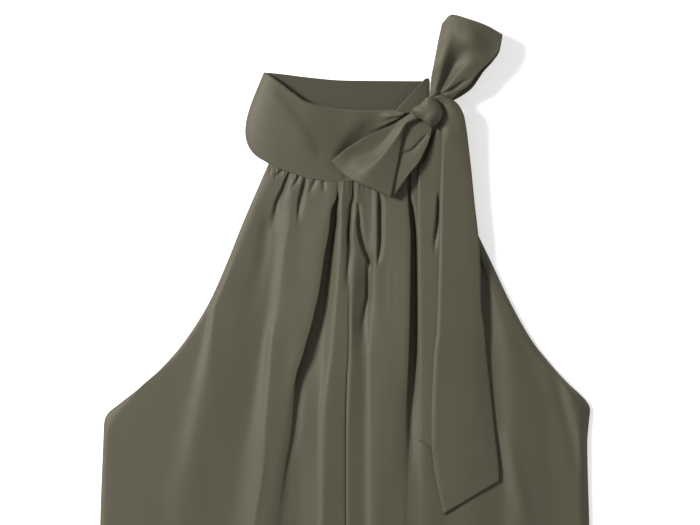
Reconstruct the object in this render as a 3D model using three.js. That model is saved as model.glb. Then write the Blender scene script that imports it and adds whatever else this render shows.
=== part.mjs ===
// A sleeveless halter neck top with a wide neckband that is tied in a bow at one side of the neck.
// It lies flat on a surface, face up, as a shop lays it out: the back panel is on the surface, the gathered
// front panels lie on it, the neckband stands a little open, and the bow lies over the front.
//
// Millimetres. +Z is up from the surface, +Y points from the hem to the neck, +X to the side with the bow.
// The origin is on the surface, under the centre front seam, level with the underarms.
import * as THREE from "three";

// Cloth
const CLOTH = 1.5; // a panel's wall: thin satin crepe with its turned edges
const DOUBLED = 2; // the neckband and the ties, two layers of the same cloth
const SEAM_GAP = 0.4; // between two pieces where they are sewn together
const LAY_GAP = 0.4; // between a piece and what it lies on

// Lengths up the garment
const HEM_Y = -350;
const YOKE_Y = 190; // below this line the rows of the front panels run straight across
const GATHER_HEIGHT = 1; // of the small gathers at the neck seam
const GATHER_LENGTH = 13; // how far they run down before they die away

// The side of the front and back panels, from the neck to the hem: the armhole, the underarm, the side seam.
const LEFT_SIDE = [
  { y: 250, x: -78.5 },
  { y: 226, x: -89 },
  { y: 190, x: -104.5 },
  { y: 150, x: -120.5 },
  { y: 110, x: -138.5 },
  { y: 70, x: -164 },
  { y: 50, x: -181 },
  { y: 30, x: -202 },
  { y: 10, x: -227 },
  { y: -1, x: -240 },
  { y: -8, x: -243 },
  { y: -30, x: -244 },
  { y: -110, x: -247 },
  { y: HEM_Y, x: -251 },
];
const RIGHT_SIDE = [
  { y: 284, x: 95 },
  { y: 250, x: 102.5 },
  { y: 230, x: 108.5 },
  { y: 190, x: 125 },
  { y: 150, x: 144 },
  { y: 110, x: 163 },
  { y: 70, x: 186 },
  { y: 50, x: 202 },
  { y: 30, x: 220 },
  { y: 18, x: 233 },
  { y: 10, x: 240 },
  { y: 4, x: 242.3 },
  { y: -10, x: 241 },
  { y: -30, x: 239.5 },
  { y: -110, x: 241.5 },
  { y: HEM_Y, x: 246 },
];

// The seams that join the front panels and the back panel to the neckband.
const FRONT_NECK = [
  { x: -79, y: 250 },
  { x: -67, y: 243.5 },
  { x: -51, y: 238 },
  { x: -32, y: 233 },
  { x: -10, y: 231.5 },
  { x: 3, y: 231.5 },
  { x: 18, y: 233 },
  { x: 33, y: 237 },
  { x: 48, y: 244 },
  { x: 61, y: 254 },
  { x: 73, y: 266 },
  { x: 83, y: 277 },
  { x: 95, y: 284 },
];
const BACK_NECK = [
  { x: -79, y: 250 },
  { x: -62, y: 254 },
  { x: -30, y: 256 },
  { x: 10, y: 255 },
  { x: 45, y: 256 },
  { x: 68, y: 263 },
  { x: 95, y: 284 },
];

// The folds of the front, from side to side. Each runs from the neck seam to the hem, and x and z give its place
// and the height of the cloth's upper face at these levels: the neck seam, then the lengths in LEVELS. strips is
// how many strips of faces the cloth has from the fold before to this one.
const LEVELS = [YOKE_Y, 130, 70, 0, -80, -200, HEM_Y];
const SIDE_HEIGHT = 3.5; // of the upper face along the sides, and at their top, where they meet the neckband
const SIDE_TOP = 7.5;
const FOLDS = [
  {
    name: "edge swell", strips: 5,
    x: [-72, -95, -121, -134.5, -144, -158.5, -172, -184],
    z: [9.4, 8, 9, 11, 11.6, 10.4, 9.6, 9.4],
  },
  {
    name: "edge hollow", strips: 4,
    x: [-60, -73, -78.5, -90, -101, -113, -128, -138],
    z: [9.8, 8.4, 8.1, 8.1, 8.3, 8.6, 9, 9],
  },
  {
    name: "long ridge", strips: 4,
    x: [-50, -56.5, -65.5, -73, -78, -87.5, -105, -115],
    z: [12, 12.2, 12, 12.6, 13.6, 13.8, 13.4, 13],
  },
  {
    name: "shallow dip", strips: 2,
    x: [-34, -45, -52, -60.5, -72, -84, -98, -108],
    z: [12, 12.2, 12.8, 13.5, 13.6, 13.6, 13.2, 12.8],
  },
  {
    name: "left pleat top", strips: 3,
    x: [-14, -22, -31.5, -46, -62, -75.5, -88, -98],
    z: [12.5, 14.4, 14.6, 14.4, 13.5, 13.3, 12.9, 12.6],
  },
  {
    name: "left pleat", strips: 3,
    x: [-9, -16, -25.5, -39, -50, -60, -70, -80],
    z: [12, 7.5, 7, 7, 8.5, 9.6, 10.3, 10.7],
  },
  {
    name: "seam ridge", strips: 3,
    x: [-4, -5.5, -8.5, -13, -21, -22.6, -28, -32],
    z: [12.8, 13.6, 13.4, 13.2, 13.2, 13.7, 14, 14],
  },
  {
    name: "centre seam", strips: 3,
    x: [4.5, 1.2, 0.4, 0.6, -1.5, -1.5, -1.2, -1],
    z: [11.5, 11.8, 12.6, 12.7, 12.2, 11.8, 11.8, 11.8],
  },
  {
    name: "seam roll", strips: 2,
    x: [9, 6, 6.5, 5.5, 4, 3.5, 4, 4.5],
    z: [13, 13.8, 14, 13.4, 12.9, 12.4, 12.4, 12.4],
  },
  {
    name: "short pleat", strips: 2,
    x: [16, 16, 18, 13.5, 15.5, 15.5, 17, 18],
    z: [12, 10.5, 9.2, 10, 10.8, 10.9, 11.2, 11.3],
  },
  {
    name: "sharp ridge", strips: 2,
    x: [26, 27, 27, 23.3, 22.5, 22.5, 24.5, 26],
    z: [13.4, 14, 13, 12.9, 13.2, 13.2, 13.2, 13.2],
  },
  {
    name: "neck pleat", strips: 2,
    x: [31, 31, 33, 34, 32.5, 31, 33, 35],
    z: [11.5, 11, 13.2, 13.6, 14, 13.9, 13.9, 13.9],
  },
  {
    name: "broad ridge", strips: 2,
    x: [50, 57, 58, 56.5, 46, 40, 41, 43],
    z: [13.4, 14.6, 15.2, 15, 14, 13.7, 13.6, 13.6],
  },
  {
    name: "right pleat", strips: 3,
    x: [59, 63.5, 65, 65, 63.5, 61.5, 61.5, 63.5],
    z: [12, 7.5, 7, 7, 8.5, 11.4, 11.8, 11.8],
  },
  {
    name: "tie ridge", strips: 3,
    x: [67, 74, 75, 75, 73, 76, 82, 84],
    z: [12.8, 12.8, 12.6, 12.2, 11.8, 12.7, 12.8, 13],
  },
  {
    name: "tie hollow", strips: 2,
    x: [76, 90, 91.5, 93.5, 97, 100, 102, 105],
    z: [11.8, 11.2, 10.6, 10.9, 11.2, 12, 12, 12],
  },
  {
    name: "hidden ridge", strips: 3,
    x: [80, 102, 111, 116, 121, 123, 127, 131],
    z: [12, 11.5, 12, 12, 12, 12.3, 12.8, 12.8],
  },
  {
    name: "hidden pleat", strips: 3,
    x: [84, 114, 135, 142, 149, 152, 154, 157],
    z: [11, 7, 5.8, 8.2, 9.8, 10, 10, 10],
  },
  {
    name: "side ridge", strips: 3,
    x: [88, 118, 142.5, 160, 168, 168, 175, 180],
    z: [10.5, 6.5, 7, 10.4, 12, 12, 12, 12],
  },
  {
    name: "side hollow", strips: 3,
    x: [91, 120.5, 148, 174, 203, 204, 206, 209],
    z: [9.5, 6, 6.6, 8.5, 9, 9, 9, 9],
  },
  {
    name: "side swell", strips: 3,
    x: [93.3, 123, 151, 181, 228, 230, 231, 233],
    z: [8, 5, 5.5, 7.5, 9.5, 9.5, 9, 9],
  },
];
const CENTRE_SEAM = 7; // the fold that the two front panels meet at
const LAST_STRIPS = 2;
// The rows of the front panels: shares of the way from the neck seam to the yoke line, then lengths.
const YOKE_SHARES = [0, 0.08, 0.19, 0.34, 0.52, 0.74];
const ROWS = [
  190, 170, 150, 130, 110, 90, 70, 50, 30, 16, 7, 1, -5, -13, -30, -55, -80, -110, -140, -170, -200, -235, -270,
  -305, -335, HEM_Y,
];

// The neckband, a strip that starts at the knot, goes along the front, round the fold at the left, back along the
// surface, and turns at its right end to go down into the knot. Each row is a section across it, from the neck
// seam to its folded top edge; crown is how far the middle of the section stands up, bow how far it stands out
// to the left.
const BAND = [
  { seam: [93, 284.8, 12.2], top: [79, 304, 14], crown: 0, bow: 0 },
  { seam: [77, 271.4, 12.6], top: [67, 300.5, 15.5], crown: 0.6, bow: 0 },
  { seam: [62, 254.5, 12.8], top: [56, 301, 16.5], crown: 1.5, bow: 0 },
  { seam: [45, 240.5, 12.8], top: [44, 302.8, 16.5], crown: 1.5, bow: 0 },
  { seam: [23, 230.9, 12.6], top: [25, 302.2, 16.5], crown: 1.5, bow: 0 },
  { seam: [-2, 227.2, 12.4], top: [1, 303, 16.5], crown: 1.5, bow: 0.5 },
  { seam: [-25, 228.1, 12.2], top: [-21, 305.2, 16], crown: 1.5, bow: 1.5 },
  { seam: [-44, 232.8, 11.8], top: [-39, 310, 15], crown: 1.5, bow: 3 },
  { seam: [-59, 238.7, 11], top: [-54, 319.5, 13.5], crown: 1.5, bow: 6 },
  { seam: [-70, 243.7, 9.8], top: [-69, 331, 11.5], crown: 1, bow: 11 },
  { seam: [-77, 249.5, 8], top: [-80, 338.8, 8.5], crown: 0.5, bow: 17.5 },
  { seam: [-80, 252, 4], top: [-83.5, 340.5, 4], crown: 0, bow: 21 },
  { seam: [-75, 253.5, 0], top: [-79, 340.2, 0], crown: 0, bow: 17 },
  { seam: [-62, 254.6, 0], top: [-63, 338.5, 0], crown: 0, bow: 9 },
  { seam: [-42, 256.5, 0], top: [-42, 335.8, 0], crown: 0, bow: 2 },
  { seam: [-2, 256.3, 0], top: [-2, 332.4, 0], crown: 0, bow: 0 },
  { seam: [38, 256.5, 0], top: [38, 332, 0], crown: 0, bow: 0 },
  { seam: [64, 262.5, 0], top: [66, 331.8, 0], crown: 0, bow: 0 },
  { seam: [78, 273, 0], top: [77.5, 331.8, 0], crown: 0, bow: 0 },
  { seam: [82, 277, 4], top: [82, 332.4, 4], crown: 0, bow: 0 },
  { seam: [78, 283, 8], top: [81.5, 333.4, 7.4], crown: 0, bow: 0 },
  { seam: [62, 292, 9.8], top: [80, 334.2, 8.2], crown: 0.4, bow: 0 },
  { seam: [47, 301, 10.6], top: [77.5, 333.6, 8.8], crown: 0.8, bow: 0 },
];
const BAND_ROWS = { front: [0, 10], back: [12, 18] }; // the rows whose seam edge lies along a panel's
const BAND_ACROSS = 8;
const BAND_STEPS = 3; // rows between one section and the next
const BOW_RISE = 0.6; // under 1 puts the widest place of a bowed section nearer to its seam
// Two soft hollows that run down the front of the neckband and meet above the seam. They are deepest halfway, and
// HOLLOW_SPAN is the part of a half wave that their depth follows.
const HOLLOW_SPAN = [0.2, 0.9];
const BAND_HOLLOWS = [
  { from: [-66, 318], to: [-27, 250], width: 13, depth: 2.2 },
  { from: [24, 296], to: [-10, 262], width: 12, depth: 2.6 },
];

// The bow. Each loop is a strip that leaves the knot on top, folds at its tip and comes back below. left and
// right are its edges in the top layer, underLeft and underRight in the lower one; top and under are the heights
// of the two outer faces, and dip is how far the middle of the top layer sinks.
const UPPER_LOOP = {
  tipBow: 6,
  rows: [
    {
      left: [76, 312], right: [95, 309.6], underLeft: [77, 312], underRight: [96, 309.6],
      under: 14, top: 18.3, dip: 0,
    },
    {
      left: [81.6, 318], right: [106, 312], underLeft: [82.5, 318], underRight: [108, 313],
      under: 14, top: 22, dip: 1,
    },
    {
      left: [82.8, 331], right: [120, 322], underLeft: [84, 331], underRight: [123, 323],
      under: 14, top: 28, dip: 5,
    },
    {
      left: [85, 350], right: [134, 343], underLeft: [86, 350], underRight: [138, 344],
      under: 12, top: 31, dip: 7,
    },
    {
      left: [89.5, 370], right: [146.5, 359], underLeft: [90, 370], underRight: [150, 359],
      under: 11, top: 31, dip: 4,
    },
    {
      left: [93, 385], right: [154, 369], underLeft: [93, 385], underRight: [155.5, 368],
      under: 11.5, top: 28, dip: 1,
    },
    {
      left: [95.3, 393], right: [156, 373.5], underLeft: [95.3, 393], underRight: [156, 373.5],
      under: 16, top: 24, dip: 0,
    },
  ],
};
const LOWER_LOOP = {
  tipBow: 4,
  rows: [
    {
      left: [64.4, 298.3], right: [70.3, 291.6], underLeft: [65.5, 296.5], underRight: [81, 284.6],
      under: 20, top: 25, dip: 0,
    },
    {
      left: [43.5, 289], right: [60, 278], underLeft: [46, 282], underRight: [76, 264],
      under: 19.5, top: 29, dip: 0,
    },
    {
      left: [25, 278.5], right: [56, 261], underLeft: [28, 273], underRight: [70, 249],
      under: 19, top: 30, dip: 1,
    },
    {
      left: [8, 268], right: [52, 242], underLeft: [11, 263], underRight: [62, 235],
      under: 18.5, top: 29, dip: 2,
    },
    {
      left: [-8, 259.5], right: [47, 224], underLeft: [-6, 256], underRight: [53, 222],
      under: 18.5, top: 27, dip: 1,
    },
    {
      left: [-15, 253], right: [45, 215.5], underLeft: [-14, 252], underRight: [48, 214.5],
      under: 18.8, top: 25, dip: 0,
    },
  ],
};
const LOOP_ACROSS = 8;
const LOOP_STEPS = 2;
const LOOP_TIP_STEPS = 4;
const LOOP_TIP_REACH = 2.5;

// The knot, a wrapped lump of cloth. Its outline is a radius at each angle round it, and wraps are the strands
// that lie over it.
const KNOT = { x: 80, y: 299.5, z: 25.3, height: 10.5, wrapPitch: 9.5, wrapSlant: 0.45, wrapDepth: 0.7 };
const KNOT_FACES = { around: 28, down: 14 };
const KNOT_OUTLINE = [
  { angle: -187, radius: 16.2 },
  { angle: -150, radius: 12.1 },
  { angle: -108, radius: 11.5 },
  { angle: -80, radius: 14.7 },
  { angle: -46, radius: 14.4 },
  { angle: -20, radius: 13.2 },
  { angle: 20, radius: 13.2 },
  { angle: 52, radius: 13.6 },
  { angle: 92, radius: 14.3 },
  { angle: 124, radius: 13.3 },
  { angle: 173, radius: 16.2 },
];

// The two tie ends. left and right are their edges and height is their under face's; a tie never sinks into
// what lies below it, and rests on it where height is lower than that.
const UPPER_TIE = [
  { left: [89.9, 309.1], right: [85, 315.4], height: 24 },
  { left: [95.8, 305.8], right: [95.5, 316.6], height: 24.6 },
  { left: [98.5, 303], right: [101.5, 313.8], height: 25 },
  { left: [97.5, 300], right: [108.5, 308], height: 25 },
  { left: [96, 292], right: [115, 299], height: 24 },
  { left: [94.5, 280], right: [117.8, 285], height: 22.5 },
  { left: [93, 262], right: [120.5, 264], height: 20 },
  { left: [92.3, 235], right: [124, 235], height: 18.6 },
  { left: [91.2, 205], right: [127, 205], height: 17.5 },
  { left: [90.6, 160], right: [131.5, 160], height: 10 },
  { left: [89.3, 113], right: [133, 110], height: 10 },
  { left: [86, 63], right: [138.5, 63], height: 10 },
  { left: [83.3, 3], right: [145, 3], height: 10 },
  { left: [83.2, -27], right: [148.3, -27], height: 10 },
  { left: [85.3, -50], right: [150.4, -45], height: 10 },
  { left: [90, -76], right: [151.3, -57], height: 10 },
  { left: [95.2, -100], right: [151.5, -66], height: 10 },
];
const UNDER_TIE = [
  { left: [80, 286.5], right: [99, 290.5], height: 17.6 },
  { left: [76, 277], right: [106, 281.5], height: 16.2 },
  { left: [71.7, 255], right: [112, 257], height: 15.6 },
  { left: [69.7, 223], right: [117, 225], height: 13.6 },
  { left: [69.8, 193], right: [121, 193], height: 10 },
  { left: [70.4, 163], right: [123, 163], height: 10 },
  { left: [70.7, 113], right: [124, 113], height: 10 },
  { left: [71, 63], right: [124, 63], height: 10 },
  { left: [71.2, 18], right: [124, 5], height: 10 },
  { left: [71.5, -27], right: [124, -58], height: 10 },
];
const TIE_ACROSS = 5;
const TIE_STEPS = 3;
const TIE_REACH = 10; // a tie bridges the dips of the cloth below it that are narrower than about twice this

const olive = { color: 0x5e5a49, metalness: 0 };
const panelCloth = new THREE.MeshStandardMaterial({ ...olive, roughness: 0.55, name: "panel cloth" });
const bandCloth = new THREE.MeshStandardMaterial({ ...olive, roughness: 0.5, name: "band cloth" });

// Curves through a table's points

// The value at `at` of a smooth curve that never overshoots its points; `places` rise or fall all the way.
function curve(places, values, at) {
  const last = places.length - 1;
  const way = Math.sign(places[last] - places[0]);
  if ((at - places[0]) * way <= 0) return values[0];
  if ((at - places[last]) * way >= 0) return values[last];
  let i = 0;
  while ((at - places[i + 1]) * way > 0) i++;
  const step = (k) => places[k + 1] - places[k];
  const slope = (k) => (values[k + 1] - values[k]) / step(k);
  const tangent = (k) => {
    if (k === 0) return slope(0);
    if (k === last) return slope(last - 1);
    const before = slope(k - 1);
    const after = slope(k);
    if (before * after <= 0) return 0;
    const a = 2 * step(k) + step(k - 1);
    const b = step(k) + 2 * step(k - 1);
    return (a + b) / (a / before + b / after);
  };
  const t = (at - places[i]) / step(i);
  const h = step(i);
  return (
    values[i] * (1 + 2 * t) * (1 - t) ** 2 +
    tangent(i) * h * t * (1 - t) ** 2 +
    values[i + 1] * t * t * (3 - 2 * t) +
    tangent(i + 1) * h * t * t * (t - 1)
  );
}

const column = (table, name) => table.map((row) => row[name]);
const along = (table, place, value, at) => curve(column(table, place), column(table, value), at);
const mix = (a, b, share) => a + (b - a) * share;
const leftSide = (y) => along(LEFT_SIDE, "y", "x", y);
const rightSide = (y) => along(RIGHT_SIDE, "y", "x", y);
const frontNeck = (x) => along(FRONT_NECK, "x", "y", x);
const backNeck = (x) => along(BACK_NECK, "x", "y", x);

// A smooth curve through points in space, at `share` of the way along their list.
function through(points, share) {
  const at = share * (points.length - 1);
  const places = points.map((_, i) => i);
  const [x, y, z] = ["x", "y", "z"].map((axis) => curve(places, column(points, axis), at));
  return new THREE.Vector3(x, y, z);
}

// Walls of cloth

// A closed wall between two grids of points that have the same rows and columns.
function wall(outer, inner) {
  const rows = outer.length;
  const columns = outer[0].length;
  const points = [...outer.flat(), ...inner.flat()];
  const top = (r, c) => r * columns + c;
  const bottom = (r, c) => rows * columns + top(r, c);
  const faces = [];
  const quad = (a, b, c, d) => faces.push(a, b, c, a, c, d);
  for (let r = 0; r < rows - 1; r++) {
    for (let c = 0; c < columns - 1; c++) {
      quad(top(r, c), top(r + 1, c), top(r + 1, c + 1), top(r, c + 1));
      quad(bottom(r, c), bottom(r, c + 1), bottom(r + 1, c + 1), bottom(r + 1, c));
    }
    quad(top(r, 0), bottom(r, 0), bottom(r + 1, 0), top(r + 1, 0));
    quad(top(r, columns - 1), top(r + 1, columns - 1), bottom(r + 1, columns - 1), bottom(r, columns - 1));
  }
  for (let c = 0; c < columns - 1; c++) {
    quad(top(0, c), top(0, c + 1), bottom(0, c + 1), bottom(0, c));
    quad(top(rows - 1, c), bottom(rows - 1, c), bottom(rows - 1, c + 1), top(rows - 1, c + 1));
  }
  const geometry = new THREE.BufferGeometry().setFromPoints(points);
  geometry.setIndex(faces);
  geometry.computeVertexNormals();
  return geometry;
}

// The direction that each point of a grid faces; up from the surface on a grid that lies flat.
function facing(grid) {
  const within = (i, list) => Math.min(Math.max(i, 0), list.length - 1);
  const at = (r, c) => grid[within(r, grid)][within(c, grid[0])];
  return grid.map((row, r) =>
    row.map((_, c) => {
      const down = at(r + 1, c).clone().sub(at(r - 1, c));
      const across = at(r, c + 1).clone().sub(at(r, c - 1));
      return down.cross(across).normalize();
    }),
  );
}

// A wall below a grid that is nowhere folded under, with its thickness measured square to the cloth.
const STEEPEST = 0.5; // a steeper place than this share of a level one gets no thicker wall
function wallBelow(grid, thickness) {
  const normals = facing(grid);
  const lowest = CLOTH + LAY_GAP; // on the back panel
  const inner = grid.map((row, r) =>
    row.map((p, c) => {
      const z = p.z - thickness / Math.max(normals[r][c].z, STEEPEST);
      return new THREE.Vector3(p.x, p.y, Math.max(z, lowest));
    }),
  );
  return wall(grid, inner);
}

// A wall behind a strip that may fold over itself. Its outer face is the grid.
function wallBehind(grid, thickness) {
  const normals = facing(grid);
  const inner = grid.map((row, r) => row.map((p, c) => p.clone().addScaledVector(normals[r][c], -thickness)));
  return wall(grid, inner);
}

// Front panels

// A fold's place and height at a level: `share` of the way down to the yoke line, or below it a length y.
const guides = FOLDS.map((fold) => {
  const neckY = frontNeck(fold.x[0]);
  return { neckY, levels: [neckY, ...LEVELS], xs: fold.x, zs: fold.z };
});
function side(at, neckX) {
  const neckY = frontNeck(neckX);
  const count = LEVELS.length + 1;
  return { neckY, levels: [neckY, ...LEVELS], xs: at, zs: Array(count).fill(SIDE_HEIGHT) };
}
const leftEdge = side(leftSide, FRONT_NECK[0].x);
const rightEdge = side(rightSide, FRONT_NECK.at(-1).x);
leftEdge.zs[0] = SIDE_TOP;
rightEdge.zs[0] = SIDE_TOP;
const lines = [leftEdge, ...guides, rightEdge];
const strips = [...FOLDS.map((fold) => fold.strips), LAST_STRIPS];

function onLine(line, y) {
  const x = typeof line.xs === "function" ? line.xs(y) : curve(line.levels, line.xs, y);
  return new THREE.Vector3(x, y, curve(line.levels, line.zs, y));
}
const ease = (share) => (1 - Math.cos(Math.PI * share)) / 2;

function between(a, b, share, levelOf) {
  const left = onLine(a, levelOf(a));
  const right = onLine(b, levelOf(b));
  return left.lerp(right, share).setZ(mix(left.z, right.z, ease(share)));
}

function frontGrid(first, last) {
  const levels = [
    ...YOKE_SHARES.map((share) => (line) => mix(line.neckY, YOKE_Y, share)),
    ...ROWS.map((y) => () => y),
  ];
  const grid = levels.map((levelOf, r) => {
    const row = [];
    for (let k = first; k < last; k++) {
      for (let s = k === first ? 0 : 1; s <= strips[k]; s++) {
        const p = between(lines[k], lines[k + 1], s / strips[k], levelOf);
        if (r === 0) p.y = frontNeck(p.x);
        const drop = frontNeck(p.x) - p.y;
        const gather = GATHER_HEIGHT * Math.exp(-((drop / GATHER_LENGTH) ** 2));
        const onSide = (k === 0 && s === 0) || (k === lines.length - 2 && s === strips[k]);
        if (!onSide) p.z += row.length % 2 ? gather : -gather;
        if (k === first && s === 0 && first > 0) p.x += SEAM_GAP / 2;
        if (k === last - 1 && s === strips[k] && last < lines.length - 1) p.x -= SEAM_GAP / 2;
        row.push(p);
      }
    }
    return row;
  });
  return grid;
}

// Back panel: flat on the surface

function backPanel() {
  const outline = new THREE.Shape();
  const neckSteps = 24;
  const sideRows = [190, 150, 110, 70, 50, 30, 18, 10, 4, -1, -8, -30, -110, -230];
  const [neckLeft, neckRight] = [BACK_NECK[0].x, BACK_NECK.at(-1).x];
  for (let i = 0; i <= neckSteps; i++) {
    const x = mix(neckLeft, neckRight, i / neckSteps);
    const y = backNeck(x) - SEAM_GAP;
    if (i === 0) outline.moveTo(x, y);
    else outline.lineTo(x, y);
  }
  for (const y of [250, 230, ...sideRows, HEM_Y]) outline.lineTo(rightSide(y), y);
  for (const y of [HEM_Y, ...sideRows.toReversed(), 226]) outline.lineTo(leftSide(y), y);
  outline.closePath();
  return new THREE.ExtrudeGeometry(outline, { depth: CLOTH, bevelEnabled: false });
}

// Strips: the neckband, the loops and the ties

const point = ([x, y, z = 0]) => new THREE.Vector3(x, y, z);

// The same grid, with its rows turned round if it faces down where it starts.
function faceUp(grid) {
  return facing(grid)[0][0].z < 0 ? grid.map((row) => row.toReversed()) : grid;
}

function hollowDepth(p) {
  let depth = 0;
  for (const hollow of BAND_HOLLOWS) {
    const from = point(hollow.from);
    const run = point(hollow.to).sub(from);
    const away = new THREE.Vector3(p.x, p.y, 0).sub(from);
    const share = THREE.MathUtils.clamp(away.dot(run) / run.lengthSq(), 0, 1);
    const off = away.addScaledVector(run, -share).length();
    depth += hollow.depth * Math.exp(-((off / hollow.width) ** 2)) * Math.sin(Math.PI * mix(...HOLLOW_SPAN, share));
  }
  return depth;
}

// How far a point of the band's seam edge has to move to lie along the panel's own edge.
function seamShift(p, at) {
  const { front, back } = BAND_ROWS;
  if (at <= front[1]) return Math.max(frontNeck(p.x) + SEAM_GAP - p.y, 0);
  if (at >= back[0] && at <= back[1]) return Math.max(backNeck(p.x) + SEAM_GAP - p.y, 0);
  return 0;
}

function bandGrid() {
  const count = (BAND.length - 1) * BAND_STEPS;
  const seams = BAND.map((row) => point(row.seam));
  const grid = [];
  for (let c = BAND_ACROSS; c >= 0; c--) {
    const share = c / BAND_ACROSS;
    const middle = Math.sin(Math.PI * share);
    const places = BAND.map((row) => {
      const p = point(row.seam).lerp(point(row.top), share);
      p.x -= row.bow * Math.sin(Math.PI * share ** BOW_RISE);
      p.z += row.crown * middle;
      return p;
    });
    const row = [];
    for (let i = 0; i <= count; i++) {
      const p = through(places, i / count);
      const at = i / BAND_STEPS;
      p.y += seamShift(through(seams, i / count), at) * (1 - share);
      if (at < BAND_ROWS.front[1]) p.z -= hollowDepth(p) * middle;
      row.push(p);
    }
    grid.push(row);
  }
  return faceUp(grid);
}

function loopGrid({ rows, tipBow }) {
  const steps = (rows.length - 1) * LOOP_STEPS;
  const tip = rows.at(-1);
  const before = rows.at(-2);
  const centre = (row) => point(row.left).lerp(point(row.right), 0.5);
  const outward = centre(tip).sub(centre(before)).normalize();
  const strands = [];
  for (let c = 0; c <= LOOP_ACROSS; c++) {
    const share = c / LOOP_ACROSS;
    const middle = Math.sin(Math.PI * share);
    const top = rows.map((row) => {
      const p = point(row.left).lerp(point(row.right), share);
      return p.setZ(row.top - row.dip * middle);
    });
    const under = rows.map((row) => point(row.underLeft).lerp(point(row.underRight), share).setZ(row.under));
    for (const layer of [top, under]) layer.at(-1).addScaledVector(outward, tipBow * middle);
    const strand = [];
    for (let i = 0; i <= steps; i++) strand.push(through(top, i / steps));
    for (let i = 1; i < LOOP_TIP_STEPS; i++) {
      const turn = (Math.PI * i) / LOOP_TIP_STEPS;
      const p = top.at(-1).clone().lerp(under.at(-1), (1 - Math.cos(turn)) / 2);
      strand.push(p.addScaledVector(outward, LOOP_TIP_REACH * Math.sin(turn)));
    }
    for (let i = steps; i >= 0; i--) strand.push(through(under, i / steps));
    strands.push(strand);
  }
  const grid = strands[0].map((_, r) => strands.map((strand) => strand[r]));
  return faceUp(grid);
}

// The highest point of the cloth that has been laid so far, round each place
const MAP_CELL = 2;
const heights = new Map();
const cellKey = (x, y) => `${Math.round(x / MAP_CELL)},${Math.round(y / MAP_CELL)}`;

function layDown(grid) {
  for (let r = 0; r < grid.length - 1; r++) {
    for (let c = 0; c < grid[0].length - 1; c++) {
      const [a, b, d, e] = [grid[r][c], grid[r][c + 1], grid[r + 1][c], grid[r + 1][c + 1]];
      const samples = Math.ceil(Math.max(a.distanceTo(b), a.distanceTo(d)) / MAP_CELL) + 1;
      for (let i = 0; i <= samples; i++) {
        for (let j = 0; j <= samples; j++) {
          const p = a.clone().lerp(b, j / samples).lerp(d.clone().lerp(e, j / samples), i / samples);
          const key = cellKey(p.x, p.y);
          heights.set(key, Math.max(heights.get(key) ?? 0, p.z));
        }
      }
    }
  }
}

function highestNear(x, y, reach) {
  let highest = 0;
  for (let dx = -reach; dx <= reach; dx += MAP_CELL) {
    for (let dy = -reach; dy <= reach; dy += MAP_CELL) {
      if (dx * dx + dy * dy > reach * reach) continue;
      highest = Math.max(highest, heights.get(cellKey(x + dx, y + dy)) ?? 0);
    }
  }
  return highest;
}

// The under face of a tie: no lower than its table says and nowhere in the cloth below.
function tieGrid(rows) {
  const steps = (rows.length - 1) * TIE_STEPS;
  const grid = [];
  for (let i = 0; i <= steps; i++) {
    const row = [];
    for (let c = 0; c <= TIE_ACROSS; c++) {
      const edge = (name) => through(rows.map((r) => point([...r[name], r.height])), i / steps);
      const p = edge("left").lerp(edge("right"), c / TIE_ACROSS);
      p.z = Math.max(p.z, highestNear(p.x, p.y, TIE_REACH) + LAY_GAP);
      row.push(p);
    }
    grid.push(row);
  }
  return grid;
}

function raised(grid, thickness) {
  const normals = facing(grid);
  return grid.map((row, r) =>
    row.map((p, c) => new THREE.Vector3(p.x, p.y, p.z + thickness / Math.max(normals[r][c].z, STEEPEST))),
  );
}

// The knot

function knotShape() {
  const ball = new THREE.SphereGeometry(1, KNOT_FACES.around, KNOT_FACES.down);
  ball.rotateX(Math.PI / 2);
  const places = ball.attributes.position;
  for (let i = 0; i < places.count; i++) {
    const p = new THREE.Vector3().fromBufferAttribute(places, i);
    let angle = THREE.MathUtils.radToDeg(Math.atan2(p.y, p.x));
    if (angle > KNOT_OUTLINE.at(-1).angle) angle -= 360;
    const radius = along(KNOT_OUTLINE, "angle", "radius", angle);
    const x = p.x * radius;
    const y = p.y * radius;
    const strand = Math.cos((2 * Math.PI * (y + KNOT.wrapSlant * x)) / KNOT.wrapPitch);
    const z = p.z * (KNOT.height + KNOT.wrapDepth * strand);
    places.setXYZ(i, KNOT.x + x, KNOT.y + y, KNOT.z + z);
  }
  ball.computeVertexNormals();
  return ball;
}

const parts = new THREE.Group();
function add(name, geometry, material) {
  const mesh = new THREE.Mesh(geometry, material);
  mesh.name = name;
  parts.add(mesh);
}

const frontLeft = frontGrid(0, CENTRE_SEAM + 1);
const frontRight = frontGrid(CENTRE_SEAM + 1, lines.length - 1);
add("front_left", wallBelow(frontLeft, CLOTH), panelCloth);
add("front_right", wallBelow(frontRight, CLOTH), panelCloth);
add("back", backPanel(), panelCloth);
add("neckband", wallBehind(bandGrid(), DOUBLED), bandCloth);
add("bow_knot", knotShape(), bandCloth);
add("bow_loop_upper", wallBehind(loopGrid(UPPER_LOOP), DOUBLED), bandCloth);
add("bow_loop_lower", wallBehind(loopGrid(LOWER_LOOP), DOUBLED), bandCloth);

layDown(frontLeft);
layDown(frontRight);
const underTie = tieGrid(UNDER_TIE);
const underTieTop = raised(underTie, DOUBLED);
add("tie_tail_under", wall(underTieTop, underTie), bandCloth);
layDown(underTieTop);
const upperTie = tieGrid(UPPER_TIE);
add("tie_tail_over", wall(raised(upperTie, DOUBLED), upperTie), bandCloth);

export default parts;
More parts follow.
